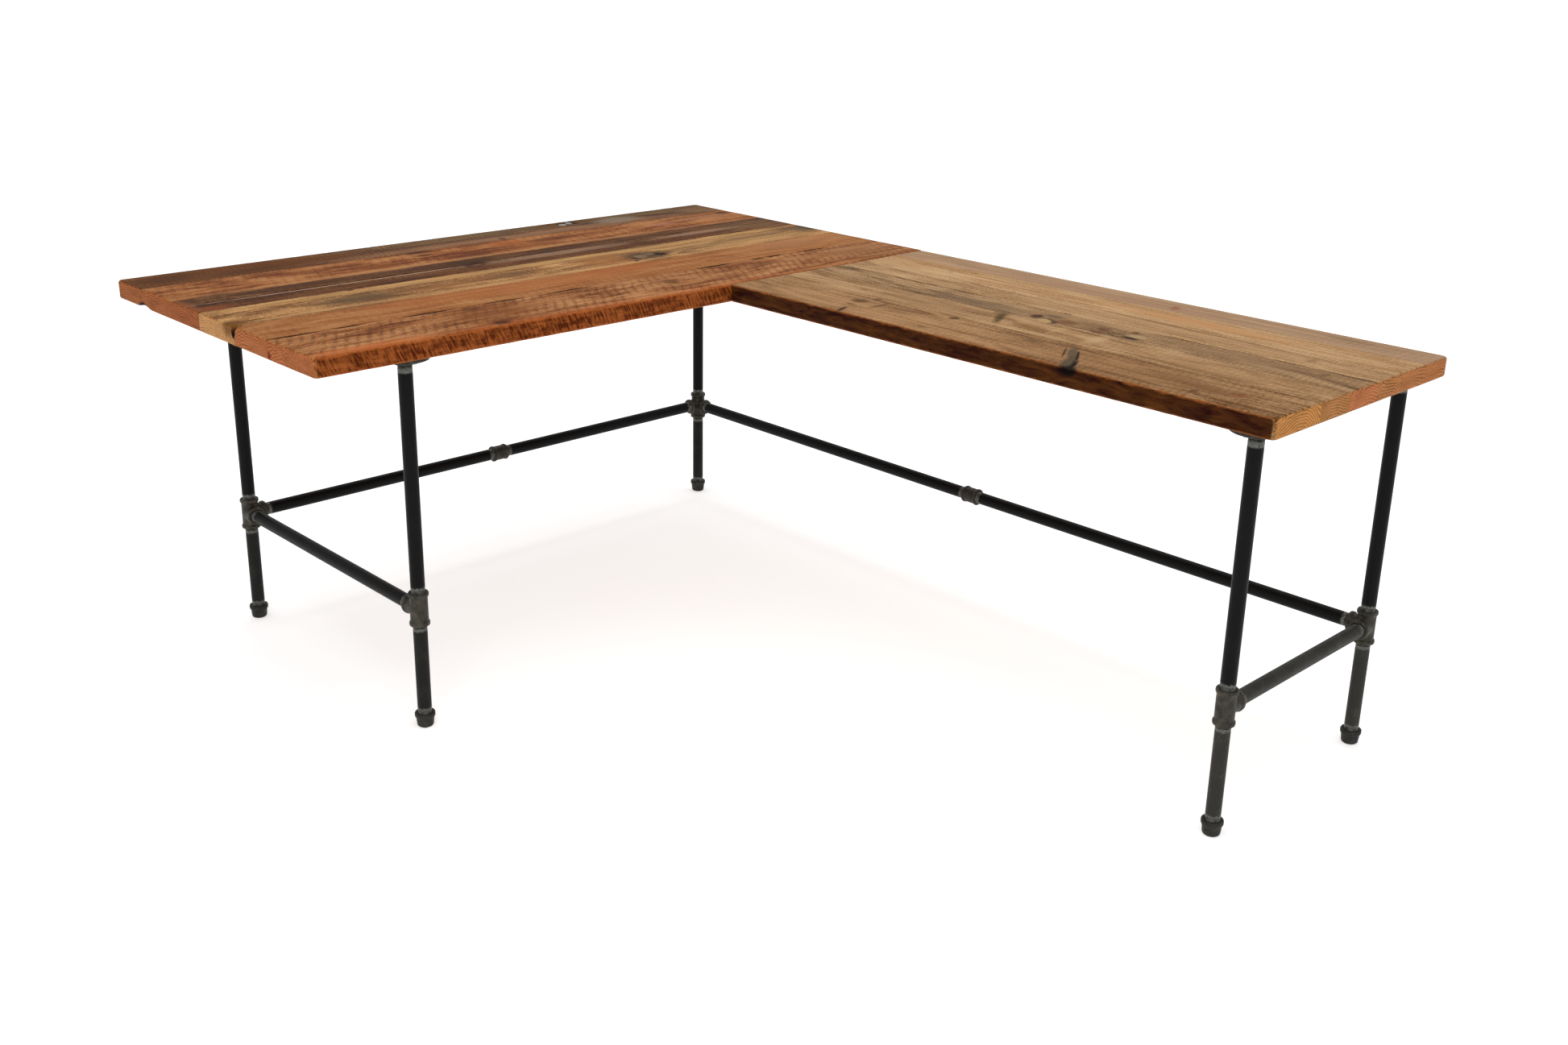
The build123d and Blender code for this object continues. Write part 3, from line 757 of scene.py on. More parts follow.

# the return: six paler boards, measured from the seam and from the outer edge inwards
# the same for the return; its arris colour too is part rubbed wear, part painted highlight
return_top = Top(RETURN_BOARDS, 1, False, None, ((50, 35, 25), (88, 58, 39)), 0.0, (140, 84, 50))
return_joint = [
    (s, t, long, 5, SHADE, 0.8, 0.5, dent)
    for s, t, long, dent in ((52, 262, 106, 1.4), (172, 262, 46, 1.2), (258, 262, 36, 1.2),
                             (600, 261, 24, 0.8), (890, 263, 124, 2.2), (1065, 263, 72, 1.6),
                             (1186, 263, 94, 1.8))
]
return_specs = (
    dict(
        seed=71.3, rough=0.7, pith=520, rings=0.2, patch=0.5, stroke_share=0.3, chatter=(0.35, 100, 14),
        tones=((98, 66, 40), (150, 114, 80), (178, 140, 101)), end_tone=(198, 138, 82),
        marks=[
            (300, 540, 640, 120, (174, 134, 94), 0.4, 0.7),
            (900, 520, 460, 110, (136, 98, 66), 0.45, 0.7),
            (268, 490, 34, 30, (92, 66, 46), 0.8, 0.5, 0.8),
            (325, 494, 14, 52, (104, 74, 50), 0.7, 0.5),
            (285, 455, 16, 22, (98, 70, 50), 0.7, 0.5),
            (485, 458, 20, 24, (84, 62, 46), 0.8, 0.5, 0.6),
            (276, 524, 22, 10, (96, 68, 48), 0.7, 0.5),
            (490, 558, 24, 10, (96, 66, 44), 0.6, 0.5),
            (1125, 512, 26, 22, (120, 76, 52), 0.75, 0.5),
            (1062, 546, 14, 22, (92, 62, 42), 0.7, 0.5),
            (1020, 500, 120, 30, (128, 90, 60), 0.5, 0.6),
            (690, 484, 40, 16, (96, 70, 50), 0.6, 0.6),
            (740, 470, 40, 12, (110, 84, 60), 0.6, 0.6),
            (296, 568, 10, 44, SHADE, 0.85, 0.5, 1.0, -20),
            (790, 500, 84, 18, (88, 78, 64), 0.85, 0.4, 0.5, 58),
            (822, 556, 84, 22, (84, 74, 60), 0.9, 0.35, 0.6, 66),
            (806, 508, 66, 5, (44, 36, 30), 0.9, 0.4, 1.4, 58),
            (836, 560, 64, 9, (36, 30, 26), 0.95, 0.4, 2.2, 66),
            (818, 530, 50, 4, (60, 50, 40), 0.8, 0.4, 0.8, 66),
            (776, 506, 70, 4, (58, 48, 38), 0.8, 0.5, 0.6, 60),
            (843, 584, 36, 22, (34, 27, 22), 0.9, 0.4, 1.5, 0, 0.5, 5, 11),
        ],
    ),
    dict(
        seed=83.8, pith=400, rings=0.18, patch=0.5, stroke_share=0.25, chatter=(0.3, 95, 14),
        tones=((118, 86, 56), (162, 126, 90), (184, 150, 111)), end_tone=(178, 124, 78),
        marks=[
            (370, 400, 280, 80, (140, 106, 76), 0.45, 0.7),
            (1000, 395, 420, 80, (172, 134, 96), 0.4, 0.7),
            (536, 386, 84, 16, (72, 60, 40), 0.8, 0.6, 0.8, 62),
            (520, 362, 34, 22, (84, 70, 46), 0.6, 0.6),
            (620, 402, 70, 36, (134, 98, 62), 0.65, 0.6),
            (760, 388, 28, 70, (190, 158, 118), 0.6, 0.6),
            (670, 384, 18, 60, (180, 144, 104), 0.5, 0.6),
            (205, 410, 20, 10, (108, 80, 58), 0.6, 0.5),
        ],
    ),
    dict(
        seed=97.1, pith=300, rings=0.18, patch=0.55, stroke_share=0.3, chatter=(0.3, 95, 12),
        tones=((98, 74, 52), (153, 120, 86), (178, 146, 109)), end_tone=(190, 120, 80),
        marks=[
            (440, 322, 250, 50, (118, 96, 74), 0.65, 0.7),
            (1030, 300, 400, 60, (130, 100, 74), 0.5, 0.6),
            (700, 280, 220, 34, (168, 134, 98), 0.5, 0.7),
            (620, 326, 130, 60, (146, 112, 80), 0.6, 0.6),
            (600, 300, 40, 20, (92, 80, 68), 0.7, 0.5),
            (575, 322, 26, 30, (66, 46, 44), 0.85, 0.4, 0.8),
            (645, 322, 40, 32, (106, 68, 48), 0.7, 0.5),
            (612, 340, 48, 36, (64, 52, 40), 0.85, 0.3, 0.6, 20),
            (606, 342, 36, 26, (182, 150, 108), 0.85, 0.3, 0.0, 20),
            (720, 312, 22, 30, (104, 70, 48), 0.8, 0.4, 0.0, -60),
            (728, 342, 30, 14, (108, 68, 48), 0.75, 0.5),
            (778, 294, 14, 30, (106, 72, 50), 0.8, 0.4, 0.0, -30),
            (792, 312, 40, 24, (176, 150, 112), 0.7, 0.5),
            (792, 330, 36, 12, (42, 34, 28), 0.95, 0.4, 1.4),
            (1152, 292, 16, 20, (104, 80, 58), 0.6, 0.5),
        ] + return_joint,
    ),
    dict(
        seed=109.6, rough=0.45, pith=230, rings=0.16, patch=0.4, stroke_share=0.35, chatter=(0.4, 92, 9),
        tones=((132, 98, 66), (175, 139, 101), (195, 161, 121)), end_tone=(184, 124, 80),
        marks=[
            (800, 218, 620, 60, (166, 128, 92), 0.45, 0.7),
            (412, 200, 10, 60, (150, 116, 82), 0.6, 0.6, 0.0, -12),
            (860, 191, 760, 4, (116, 88, 62), 0.7, 0.6, 0.4, 2.0, 1.2),
            (1090, 222, 14, 24, (128, 96, 68), 0.6, 0.6),
        ] + return_joint,
    ),
    dict(
        seed=121.4, rough=0.35, pith=110, rings=0.14, patch=0.35, stroke_share=0.12, chatter=(0.2, 85, 14),
        tones=((152, 112, 74), (181, 144, 104), (197, 163, 123)), end_tone=(184, 122, 78),
        marks=[
            (815, 132, 350, 40, (182, 128, 82), 0.6, 0.7),
            (243, 107, 20, 10, (120, 82, 56), 0.7, 0.5),
            (196, 130, 10, 50, (158, 126, 92), 0.5, 0.6, 0.0, -35),
            (372, 158, 10, 28, (170, 120, 88), 0.5, 0.6),
        ],
    ),
    dict(
        seed=137.9, pith=20, rings=0.10, patch=0.25, stroke_share=0.15, chatter=(0.2, 85, 16),
        tones=((150, 118, 90), (166, 134, 106), (178, 146, 115)), end_tone=(182, 120, 76),
        marks=[
            (600, 62, 520, 46, (154, 120, 94), 0.5, 0.7),
            (500, 8, 900, 20, (176, 146, 114), 0.5, 0.7),
            (707, 56, 18, 34, (142, 92, 68), 0.7, 0.5, 0.0, -20),
            (1060, 32, 80, 20, (128, 104, 78), 0.6, 0.6),
        ],
    ),
)
for node, spec in zip(RETURN_BOARDS, return_specs):
    spec["marks"] = [Mark(*row) for row in spec["marks"]]
    piece = board(node, return_top, spec["seed"], spec["chatter"], spec["marks"])
    piece.data.materials.append(board_finish(node + "_wood", return_top, **spec))
    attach(piece, "root")
    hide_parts(node)

# ---- pipes --------------------------------------------------------------------------------------
# Welded 3/4 inch steel pipe, cut to length, with a tapered thread cut at both ends. The upper legs
# and long rails keep their black lacquer; it is gone beside each fitting, where a wrench and the
# threading die had it. The lower legs and the end rail are barer, greyer pipe.
PIPE_R = 13.35 * MM
BORE_R = 10.45 * MM
THREAD_PITCH = 1.814 * MM
THREAD_LENGTH = 21.0 * MM
THREAD_DEPTH = 1.0 * MM
THREAD_CREST_R = 13.1 * MM
ROWS_IN_PITCH = 5
BARE_ROWS = (22.5, 24.5, 27.0, 30.0, 33.0, 36.5, 41.0)     # rings past the thread, in millimetres
RUNOUT = 2.2                # pitches over which the thread fades into the full pipe
LACQUER_STRAY = 1.6 * MM    # how raggedly the lacquer ends, and how softly
LACQUER_FADE = 1.5 * MM
BARE_BY_FITTING = 25.0 * MM
BARE_BY_FLANGE = 29.0 * MM
PIPE_SIDES = 48


def pipe_rows(length):
    """Distances along a pipe where it has a ring of vertices."""
    count = round(THREAD_LENGTH / THREAD_PITCH * ROWS_IN_PITCH)
    thread = np.linspace(0.0, THREAD_LENGTH, count + 1)
    end = np.concatenate([thread, np.array(BARE_ROWS) * MM])
    return np.concatenate([end, length - end[::-1]])


def pipe(node, bare_low, bare_high, finish):
    """One pipe, where its CAD node lies: threaded, hollow, and bare near its two ends."""
    low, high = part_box(node)
    size = high - low
    run = max(range(3), key=lambda axis: size[axis])
    length = size[run]
    bpy.ops.object.select_all(action="DESELECT")
    bpy.ops.mesh.primitive_cylinder_add(vertices=PIPE_SIDES, radius=PIPE_R, depth=length,
                                        location=(0, 0, length / 2))
    piece = bpy.context.object
    piece.name = node.replace("_pipe", "_iron_pipe")
    bpy.ops.object.transform_apply()

    # the bore: inset both ends, open them, and bridge the two rims
    pick_none(piece, "FACE")
    for face in piece.data.polygons:
        face.select = abs(face.normal.z) > 0.9
    bpy.ops.object.mode_set(mode="EDIT")
    bpy.ops.mesh.inset(thickness=PIPE_R - BORE_R)
    bpy.ops.mesh.delete(type="FACE")
    bpy.ops.mesh.select_mode(type="EDGE")
    bpy.ops.mesh.select_non_manifold()
    bpy.ops.mesh.bridge_edge_loops()
    bpy.ops.object.mode_set(mode="OBJECT")

    rows = pipe_rows(length)
    outside = (PIPE_R + BORE_R) / 2
    for cuts in (2, (len(rows) - 1) // 3 - 1):
        cut_cells(piece, 2, cuts, lambda middle: np.hypot(middle[:, 0], middle[:, 1]) > outside)
    places = places_of(piece)
    radius = np.hypot(places[:, 0], places[:, 1])
    wall = radius > outside
    places[wall, 2] = fit_lines(places[wall, 2], 0.0, length, rows)

    # the thread: a ridge that climbs one pitch a turn and runs out into the full pipe
    around = np.arctan2(places[:, 1], places[:, 0]) / (2 * math.pi)
    from_end = np.minimum(places[:, 2], length - places[:, 2])
    ridge = np.abs(((places[:, 2] / THREAD_PITCH - around) % 1.0) * 2 - 1)
    runout = np.clip((THREAD_LENGTH - from_end) / (RUNOUT * THREAD_PITCH), 0.0, 1.0)
    cut = THREAD_CREST_R - THREAD_DEPTH * ridge - 0.5 * MM * np.clip(1 - from_end / MM, 0.0, 1.0)
    target = PIPE_R + (cut - PIPE_R) * runout
    scale = np.where(wall, target / radius, 1.0)
    places[:, :2] *= scale[:, None]
    move_to(piece, places)

    bare = piece.data.attributes.new("bare", "FLOAT", "POINT")
    ragged = np.array([noise.noise(Vector(place) * 160) for place in places]) * LACQUER_STRAY
    gone_low = np.clip((bare_low + ragged - places[:, 2]) / LACQUER_FADE, 0.0, 1.0)
    gone_high = np.clip((bare_high + ragged - (length - places[:, 2])) / LACQUER_FADE, 0.0, 1.0)
    bare.data.foreach_set("value", np.maximum(gone_low, gone_high))

    turn = {0: (0, math.pi / 2, 0), 1: (-math.pi / 2, 0, 0), 2: (0, 0, 0)}[run]
    start = (low + high) / 2
    start[run] = low[run]
    only(piece)
    piece.rotation_euler = turn
    piece.location = start
    bpy.ops.object.transform_apply()
    smoothed(piece, 35)
    piece.data.materials.append(finish)
    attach(piece, "root")
    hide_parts(node)


def pipe_finish(name, coat, worn_coat, coat_rough, wear):
    """Lacquer or mill scale over steel, and bright die-cut steel where the coat is gone."""
    finish = Finish(name)
    bare = finish.add("Attribute", {}, "Fac", attribute_name="bare")
    blotch = finish.even_cloud(0.035, 4, 0.6, 0.5)
    speck = finish.even_cloud(0.0025, 3, 0.7)
    scuff = finish.calc("MULTIPLY", finish.spread(blotch, 0.45, 0.75),
                        finish.spread(speck, 0.40, 0.72))
    coated = finish.blend(finish.calc("MULTIPLY", scuff, wear), linear(coat), linear(worn_coat))
    steel = finish.ramp(speck, (0.30, (58, 58, 55)), (0.72, (112, 112, 107)))
    finish.surface(Base_Color=finish.blend(bare, coated, steel),
                   Metallic=finish.calc("MULTIPLY", bare, 0.85))
    rough = finish.calc("MULTIPLY_ADD", speck, 0.25, coat_rough - 0.12)
    rough = finish.calc("MULTIPLY_ADD", bare, 0.34 - coat_rough, rough)
    finish.surface(Roughness=rough, IOR=1.2, Specular_IOR_Level=0.5)
    finish.relief(finish.calc("MULTIPLY_ADD", blotch, 0.5, speck), 0.12 * MM, 0.5)
    return finish.material


lacquered = pipe_finish("black_lacquer", (6, 6, 6), (24, 24, 23), 0.45, 0.5)
scaled = pipe_finish("mill_scale", (24, 24, 22), (54, 53, 48), 0.48, 0.8)
worn_scale = pipe_finish("worn_mill_scale", (44, 43, 39), (82, 80, 72), 0.46, 0.9)
LEGS = ("left_back", "left_front", "corner", "return_back", "return_front")
for leg in LEGS:
    pipe(f"upper_pipe_{leg}", BARE_BY_FITTING, BARE_BY_FLANGE, lacquered)
    lower = worn_scale if leg.startswith("return") else scaled
    pipe(f"lower_pipe_{leg}", BARE_BY_FITTING, BARE_BY_FITTING, lower)
for rail in ("rail_back_pipe_1", "rail_back_pipe_2", "rail_side_pipe_1", "rail_side_pipe_2",
             "rail_left_pipe"):
    pipe(rail, BARE_BY_FITTING, BARE_BY_FITTING, lacquered)
pipe("rail_end_pipe", BARE_BY_FITTING, BARE_BY_FITTING, worn_scale)

# ---- tees ---------------------------------------------------------------------------------------
# Malleable iron castings: fat barrels that flow into each other, with a rolled band at each mouth.
# Three have two side outlets for a corner of the frame, and two have one.
TEE_REACH = 33.3 * MM
BARREL_R = 17.1 * MM
BAND_R = 19.4 * MM
BAND_LENGTH = 9.0 * MM
SOCKET_R = 13.3 * MM
MOUTH_R = 14.6 * MM
MOUTH_DEPTH = 1.5 * MM
LUMPS = 0.3 * MM            # how rough the sand mould leaves a casting
CAST_SHARP = 48             # degrees past which a casting's edge stays sharp
WAYS = {"up": (0, 0, 1), "down": (0, 0, -1), "x": (1, 0, 0), "y": (0, 1, 0)}


def turned_rod(radius, start, finish, way, far_radius=None, vertices=48):
    """Closed rod or cone along a way from the origin, between two distances."""
    bpy.ops.object.select_all(action="DESELECT")
    turn = Vector(way).to_track_quat("Z", "Y").to_euler()
    bpy.ops.mesh.primitive_cone_add(
        vertices=vertices, radius1=radius, radius2=far_radius or radius, depth=finish - start,
        location=Vector(way) * (start + finish) / 2, rotation=turn)
    return bpy.context.object


def joined(name, pieces):
    """Several closed pieces as one object with its place in its mesh."""
    bpy.ops.object.select_all(action="DESELECT")
    for piece in pieces:
        piece.select_set(True)
    bpy.context.view_layer.objects.active = pieces[0]
    bpy.ops.object.join()
    bpy.ops.object.transform_apply()
    pieces[0].name = name
    return pieces[0]


def modified(piece, kind, **settings):
    """Put a modifier on a piece and apply it."""
    only(piece)
    bpy.ops.object.modifier_add(type=kind)
    modifier = piece.modifiers[0]
    for label, value in settings.items():
        setattr(modifier, label, value)
    bpy.ops.object.modifier_apply(modifier=modifier.name)


def rounded(piece, width, segments, degrees):
    """Round every edge that is sharper than an angle."""
    modified(piece, "BEVEL", width=width, segments=segments, limit_method="ANGLE",
             angle_limit=math.radians(degrees))


def band(way, finish, length=BAND_LENGTH, radius=BAND_R):
    """Rolled band at a mouth: a short rod whose two rims are well rounded."""
    ring = turned_rod(radius, finish - length, finish, way)
    rounded(ring, 2.6 * MM, 4, 50)
    return ring


def mouth(way, reach):
    """Cutter for the lead-in of a threaded mouth."""
    return turned_rod(SOCKET_R, reach - MOUTH_DEPTH, reach, way, MOUTH_R)


def bored(piece, cutter):
    """Take a cutter out of a piece, and the cutter away."""
    modified(piece, "BOOLEAN", operation="DIFFERENCE", solver="EXACT", use_self=True, object=cutter)
    bpy.data.objects.remove(cutter)


def sand_cast(piece, depth, seed):
    """The sand mould's slight lumps, no prouder than the piece's own limits."""
    places = places_of(piece)
    normals = np.empty(len(places) * 3)
    piece.data.vertices.foreach_get("normal", normals)
    lumps = [noise.noise(Vector(place) * 130 + Vector((seed, 0, 0))) * 0.6
             + noise.noise(Vector(place) * 420 + Vector((0, seed, 0))) * 0.4 for place in places]
    places += normals.reshape(-1, 3) * (np.array(lumps) - 0.5)[:, None] * depth
    move_to(piece, places)


def casting(name, shapes, cuts, voxel, rounds, keep, seed):
    """Shapes fused into one, softened where they meet, thinned, bored by the cuts and sanded."""
    body = joined(name, shapes)
    modified(body, "REMESH", mode="VOXEL", voxel_size=voxel)
    modified(body, "SMOOTH", factor=0.5, iterations=rounds)
    modified(body, "DECIMATE", ratio=keep)
    bored(body, joined(name + "_bore", cuts))
    sand_cast(body, LUMPS, seed)
    return body


def cast_tee(name, side_ways):
    """A tee about the origin, its run upright and its side outlets along X and perhaps Y."""
    ways = [WAYS["up"], WAYS["down"]] + [WAYS[side] for side in side_ways]
    shapes = []
    cuts = []
    for way in ways:
        shapes += [turned_rod(BARREL_R, 0.0, TEE_REACH - MM, way), band(way, TEE_REACH)]
        cuts += [turned_rod(SOCKET_R, 0.0, TEE_REACH + MM, way), mouth(way, TEE_REACH)]
    body = casting(name, shapes, cuts, 0.9 * MM, 5, 0.45, len(ways))
    smoothed(body, CAST_SHARP)
    return body


def placed(master, name, location, turn=(0, 0, 0)):
    """A copy of a master shape, with its own mesh, turned and put in its place."""
    only(master)
    bpy.ops.object.duplicate(linked=False)
    piece = bpy.context.object
    piece.name = name
    piece.rotation_euler = turn
    piece.location = location
    bpy.ops.object.transform_apply()
    return piece


def iron_finish(name, dark, middle, light, rust, rough):
    """Black malleable iron: oily grey-brown with a sandy skin and a few rust spots."""
    finish = Finish(name)
    blotch = finish.even_cloud(0.02, 4, 0.62, 0.6)
    sand = finish.even_cloud(0.0011, 3, 0.7)
    tone = finish.calc("MULTIPLY_ADD", finish.calc("SUBTRACT", sand, 0.5), 0.9, blotch)
    colour = finish.ramp(tone, (0.22, dark), (0.80, light), (0.5, middle))
    apart = finish.cells(finish.place, (0.007, 0.007, 0.007), at=(3, 1, 2))
    spots = finish.cloud(apart, 3, 0.6, 0.8)
    colour = finish.blend(finish.spread(spots, 0.56, 0.78, 0.0, 0.45), colour, linear(rust))
    finish.surface(Base_Color=colour, Metallic=0.45, IOR=1.35,
                   Roughness=finish.calc("MULTIPLY_ADD", sand, 0.3, rough - 0.15))
    finish.relief(sand, 0.25 * MM, 0.6)
    return finish.material


malleable = iron_finish("malleable_iron_skin", (26, 25, 22), (52, 49, 42), (84, 80, 69),
                        (70, 53, 36), 0.52)


def dressed(piece, node, finish):
    """Finish a fitting, let it ride on the desk, and stand for its CAD node."""
    piece.data.materials.clear()
    piece.data.materials.append(finish)
    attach(piece, "root")
    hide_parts(node)


def middle_of(node):
    """The centre of a node's box."""
    low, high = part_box(node)
    return (low + high) / 2


corner_tee = cast_tee("corner_tee_master", ("x", "y"))
end_tee = cast_tee("end_tee_master", ("x",))
# which way each tee is turned about the upright, in degrees, to point its outlets at the rails
for leg, kind, master, turn in (
    ("left_back", "side_outlet_tee", corner_tee, -90),
    ("corner", "side_outlet_tee", corner_tee, 180),
    ("return_back", "side_outlet_tee", corner_tee, 90),
    ("left_front", "tee", end_tee, 90),
    ("return_front", "tee", end_tee, 0),
):
    node = f"{kind}_{leg}"
    axis = middle_of(f"upper_pipe_{leg}")
    height = middle_of(node).z
    piece = placed(master, node + "_casting", (axis.x, axis.y, height), (0, 0, math.radians(turn)))
    dressed(piece, node, malleable)
for master in (corner_tee, end_tee):
    bpy.data.objects.remove(master)

# ---- couplings ----------------------------------------------------------------------------------
# A short straight sleeve in the middle of each long rail, banded at both mouths, joins two pipes.
COUPLING_R = 17.2 * MM
COUPLING_BAND = 6.5 * MM
COUPLING_BAND_R = 18.9 * MM
coupling_low, coupling_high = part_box("rail_back_coupling")
COUPLING_HALF = (coupling_high.x - coupling_low.x) / 2
up, down = WAYS["up"], WAYS["down"]
shapes = [turned_rod(COUPLING_R, -COUPLING_HALF + MM, COUPLING_HALF - MM, up)]
cuts = [turned_rod(SOCKET_R, -COUPLING_HALF - MM, COUPLING_HALF + MM, up)]
for way in (up, down):
    shapes.append(band(way, COUPLING_HALF, COUPLING_BAND, COUPLING_BAND_R))
    cuts.append(mouth(way, COUPLING_HALF))
coupling = casting("coupling_master", shapes, cuts, 0.8 * MM, 3, 0.5, 9)
smoothed(coupling, CAST_SHARP)
for node, turn in (("rail_back_coupling", (0, math.pi / 2, 0)),
                   ("rail_side_coupling", (math.pi / 2, 0, 0))):
    piece = placed(coupling, node + "_casting", middle_of(node), turn)
    dressed(piece, node, malleable)
bpy.data.objects.remove(coupling)

# ---- foot caps ----------------------------------------------------------------------------------
# A cast cap screwed on the bottom of each leg is its foot: a heavy bead round the mouth, a body
# that narrows a little, and a round-edged base.
CAP_HEIGHT = 29.0 * MM
CAP_BASE_R, CAP_BODY_R = 15.4 * MM, 17.9 * MM
CAP_ROUND = 4.0 * MM
CAP_FLOOR = 6 * MM          # thickness under the socket
CAP_BEAD = 10.0 * MM
body = turned_rod(CAP_BASE_R, 0.0, CAP_HEIGHT - 4 * MM, up, CAP_BODY_R)
rounded(body, CAP_ROUND, 5, 50)
bead = band(up, CAP_HEIGHT, CAP_BEAD, BAND_R + 0.1 * MM)
cuts = [turned_rod(SOCKET_R, CAP_FLOOR, CAP_HEIGHT + MM, up), mouth(up, CAP_HEIGHT)]
cap = casting("cap_master", [body, bead], cuts, 0.8 * MM, 4, 0.5, 13)
places = places_of(cap)
places[:, 2] = np.where(places[:, 2] < 0.5 * MM, 0.0, places[:, 2])
move_to(cap, places)
smoothed(cap, CAST_SHARP)
foot_iron = iron_finish("foot_iron_skin", (22, 22, 20), (42, 41, 38), (66, 64, 58),
                        (60, 50, 38), 0.6)
for number, leg in enumerate(LEGS):
    node = f"foot_cap_{leg}"
    place = middle_of(node)
    piece = placed(cap, node + "_casting", (place.x, place.y, 0.0), (0, 0, 1.1 * number))
    dressed(piece, node, foot_iron)
bpy.data.objects.remove(cap)

# ---- floor flanges ------------------------------------------------------------------------------
# A round cast flange under the top takes each leg: a flat plate with four screw holes, and a hub
# that tapers down to the banded mouth.
FLANGE_R = 44.4 * MM
FLANGE_PLATE = 6.5 * MM
FLANGE_HEIGHT = 16.0 * MM
FLANGE_PITCH_R = 33.0 * MM
FLANGE_HOLE_R = 3.6 * MM
HUB_WIDE_R, HUB_R = 23.0 * MM, 18.0 * MM
HUB_BAND, HUB_BAND_R = 5.0 * MM, 19.3 * MM
QUARTERS = (0, math.pi / 2, math.pi, 3 * math.pi / 2)
plate = turned_rod(FLANGE_R, 0.0, FLANGE_PLATE, down, vertices=96)
hub = turned_rod(HUB_WIDE_R, 2 * MM, FLANGE_HEIGHT - MM, down, HUB_R)
shapes = [plate, hub, band(down, FLANGE_HEIGHT, HUB_BAND, HUB_BAND_R)]
cuts = [turned_rod(SOCKET_R, -MM, FLANGE_HEIGHT + MM, down), mouth(down, FLANGE_HEIGHT)]
for turn in QUARTERS:
    hole = turned_rod(FLANGE_HOLE_R, -MM, FLANGE_PLATE + MM, down, vertices=24)
    hole.location += Vector((math.cos(turn), math.sin(turn), 0)) * FLANGE_PITCH_R
    cuts.append(hole)
flange = casting("flange_master", shapes, cuts, 1.0 * MM, 4, 0.45, 17)
places = places_of(flange)
places[:, 2] = np.where(places[:, 2] > -0.6 * MM, 0.0, places[:, 2])
move_to(flange, places)
smoothed(flange, CAST_SHARP)
for leg in LEGS:
    node = f"flange_{leg}"
    low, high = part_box(node)
    piece = placed(flange, node + "_casting", ((low.x + high.x) / 2, (low.y + high.y) / 2, high.z))
    dressed(piece, node, malleable)
bpy.data.objects.remove(flange)

# ---- screws -------------------------------------------------------------------------------------
# Zinc-plated pan-head wood screws with a cross recess, driven up into the top: four through each
# flange, and four through each seam plate.
SCREW_HEAD_R = 5.3 * MM
SCREW_HEAD = 3.0 * MM
HEAD_ROUND = 1.3 * MM
SCREW_R = 2.4 * MM
SCREW_POINT = 5 * MM        # length of the tapered tip
SCREW_TIP_R = 0.4 * MM
RECESS = 5.4 * MM
RECESS_WIDE = 1.1 * MM
RECESS_DEPTH = 1.6 * MM


def wood_screw(name, length):
    """A screw pointing up, whose head bears up against z = 0."""
    head = turned_rod(SCREW_HEAD_R, 0.0, SCREW_HEAD, down, vertices=32)
    rounded(head, HEAD_ROUND, 3, 30)
    blades = []
    for long, wide in ((RECESS, RECESS_WIDE), (RECESS_WIDE, RECESS)):
        bpy.ops.mesh.primitive_cube_add(size=1, location=(0, 0, -SCREW_HEAD),
                                        scale=(long, wide, RECESS_DEPTH * 2))
        blades.append(bpy.context.object)
    only(head)
    bpy.ops.object.transform_apply()
    bored(head, joined(name + "_recess", blades))
    shank = turned_rod(SCREW_R, -0.5 * MM, length - SCREW_POINT, up, vertices=16)
    tip = turned_rod(SCREW_R, length - 5.5 * MM, length - 0.2 * MM, up, SCREW_TIP_R, vertices=16)
    screw = joined(name, [head, shank, tip])
    smoothed(screw, 40)
    return screw


def screw_group(name, master, spots, node, finish):
    """A screw at each spot, each turned a little differently, as one piece."""
    copies = []
    for number, spot in enumerate(spots):
        copies.append(placed(master, f"{name}_{number}", spot, (0, 0, 0.7 * number)))
    dressed(joined(name, copies), node, finish)


def zinc_finish(name):
    """Plated steel, dulled unevenly."""
    finish = Finish(name)
    haze = finish.even_cloud(0.004, 3, 0.6, 0.4)
    finish.surface(Base_Color=finish.ramp(haze, (0.3, (128, 128, 124)), (0.7, (188, 188, 184))),
                   Roughness=finish.spread(haze, 0.3, 0.7, 0.28, 0.5), Metallic=1.0)
    finish.relief(haze, 0.05 * MM, 0.4)
    return finish.material


zinc = zinc_finish("zinc_plate")
flange_screw = wood_screw("flange_screw_master", 30 * MM)
for leg in LEGS:
    low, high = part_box(f"flange_{leg}")
    axis = (low + high) / 2
    spots = [(axis.x + math.cos(turn) * FLANGE_PITCH_R, axis.y + math.sin(turn) * FLANGE_PITCH_R,
              high.z - FLANGE_PLATE) for turn in QUARTERS]
    screw_group(f"flange_screws_{leg}_set", flange_screw, spots, f"flange_screws_{leg}", zinc)
bpy.data.objects.remove(flange_screw)

# ---- seam plates --------------------------------------------------------------------------------
# Two flat steel plates under the joint between the tops hold the return to the main top.
PLATE_SCREWS = (-78 * MM, -28 * MM, 28 * MM, 78 * MM)
PLATE_HOLE_R = 3.0 * MM


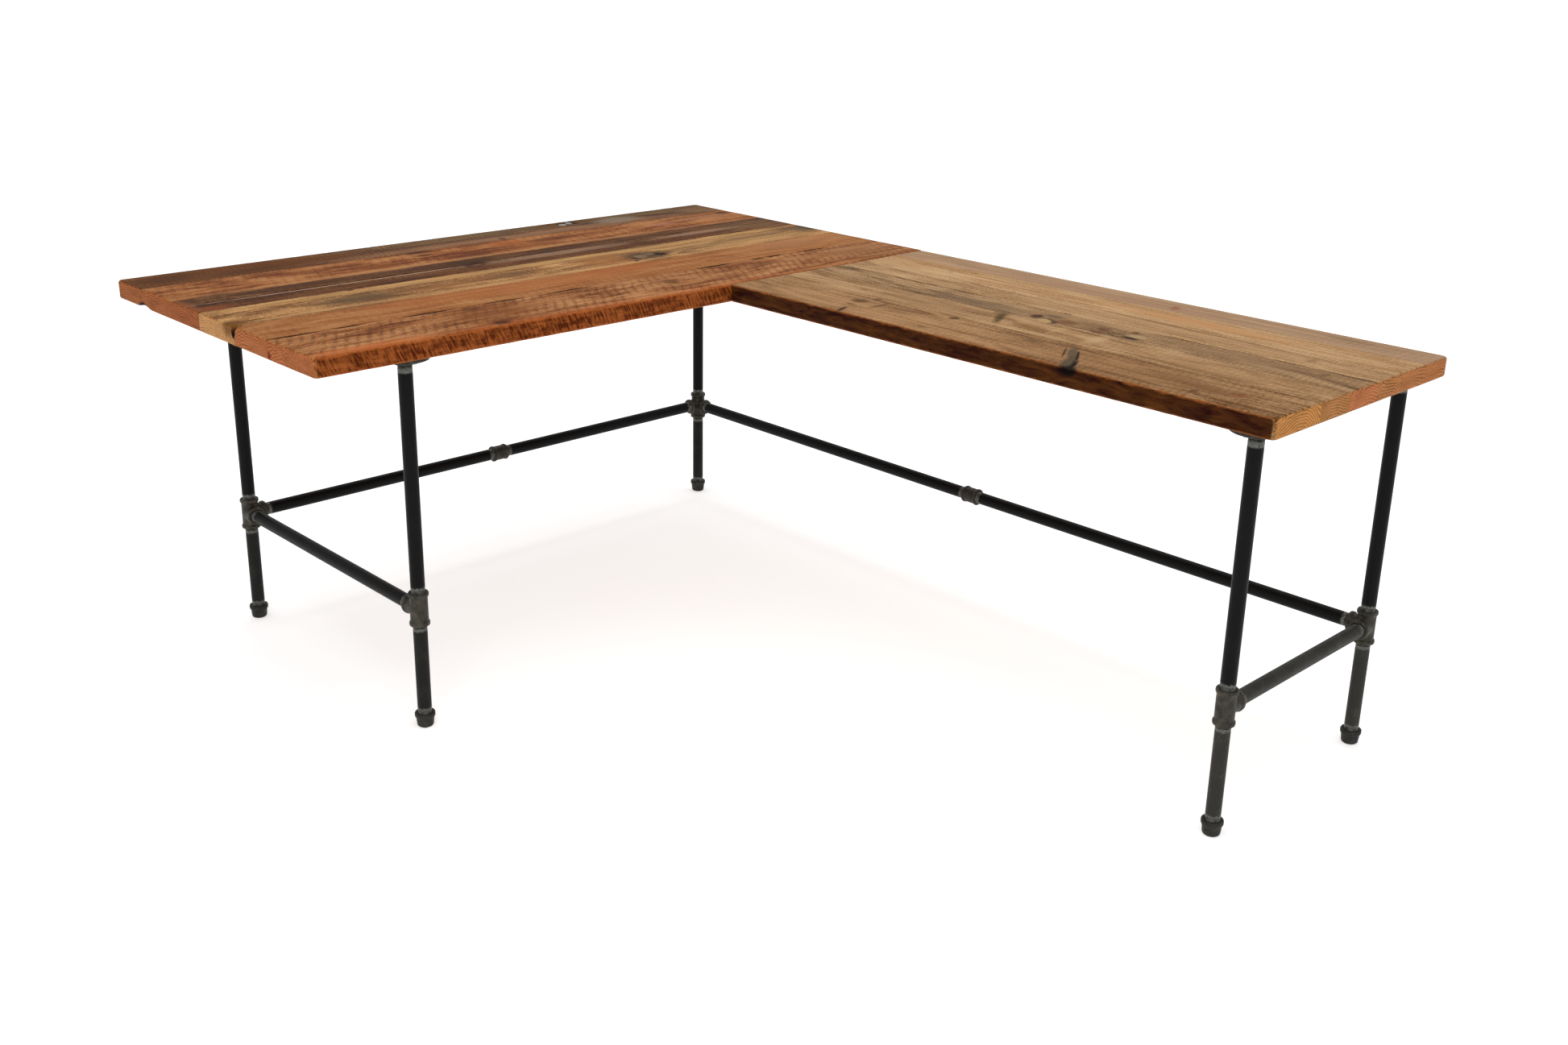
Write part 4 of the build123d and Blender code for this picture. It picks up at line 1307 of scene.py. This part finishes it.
def plate_finish(name):
    """Cold-rolled strip, grey with a faint brushed grain along it."""
    finish = Finish(name)
    brushed = finish.cloud(finish.cells(finish.place, (0.0012, 0.06, 0.0012)), 3, 0.6)
    haze = finish.even_cloud(0.02, 3, 0.6, 0.5)
    tone = finish.calc("MULTIPLY_ADD", finish.calc("SUBTRACT", brushed, 0.5), 0.6, haze)
    finish.surface(Base_Color=finish.ramp(tone, (0.3, (84, 84, 82)), (0.72, (132, 132, 130))),
                   Roughness=finish.spread(haze, 0.3, 0.7, 0.38, 0.55), Metallic=0.9)
    finish.relief(brushed, 0.05 * MM, 0.4)
    return finish.material


strip = plate_finish("rolled_strip")
seam_screw = wood_screw("seam_screw_master", 22 * MM)
for side in ("inner", "outer"):
    node = f"seam_plate_{side}"
    low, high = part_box(node)
    centre, size = (low + high) / 2, high - low
    bpy.ops.object.select_all(action="DESELECT")
    bpy.ops.mesh.primitive_cube_add(size=1, location=centre, scale=size)
    plate = bpy.context.object
    plate.name = node + "_strip"
    bpy.ops.object.transform_apply()
    pick_none(plate, "EDGE")
    for edge in plate.data.edges:
        ends = [plate.data.vertices[index].co for index in edge.vertices]
        edge.select = abs(ends[0].z - ends[1].z) > size.z / 2
    bpy.ops.object.mode_set(mode="EDIT")
    bpy.ops.mesh.bevel(offset=size.x / 4, segments=8)
    bpy.ops.object.mode_set(mode="OBJECT")
    holes = []
    for offset in PLATE_SCREWS:
        hole = turned_rod(PLATE_HOLE_R, -2 * size.z, 2 * size.z, up, vertices=24)
        hole.location = centre + Vector((0, offset, 0))
        holes.append(hole)
    bored(plate, joined(node + "_holes", holes))
    rounded(plate, 0.4 * MM, 2, 60)
    smoothed(plate, 35)
    dressed(plate, node, strip)
    spots = [(centre.x, centre.y + offset, low.z) for offset in PLATE_SCREWS]
    screw_group(f"seam_screws_{side}_set", seam_screw, spots, f"seam_screws_{side}", zinc)
bpy.data.objects.remove(seam_screw)

# ---- sizes, and the close -----------------------------------------------------------------------
# The box of what is shown.
low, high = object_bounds()
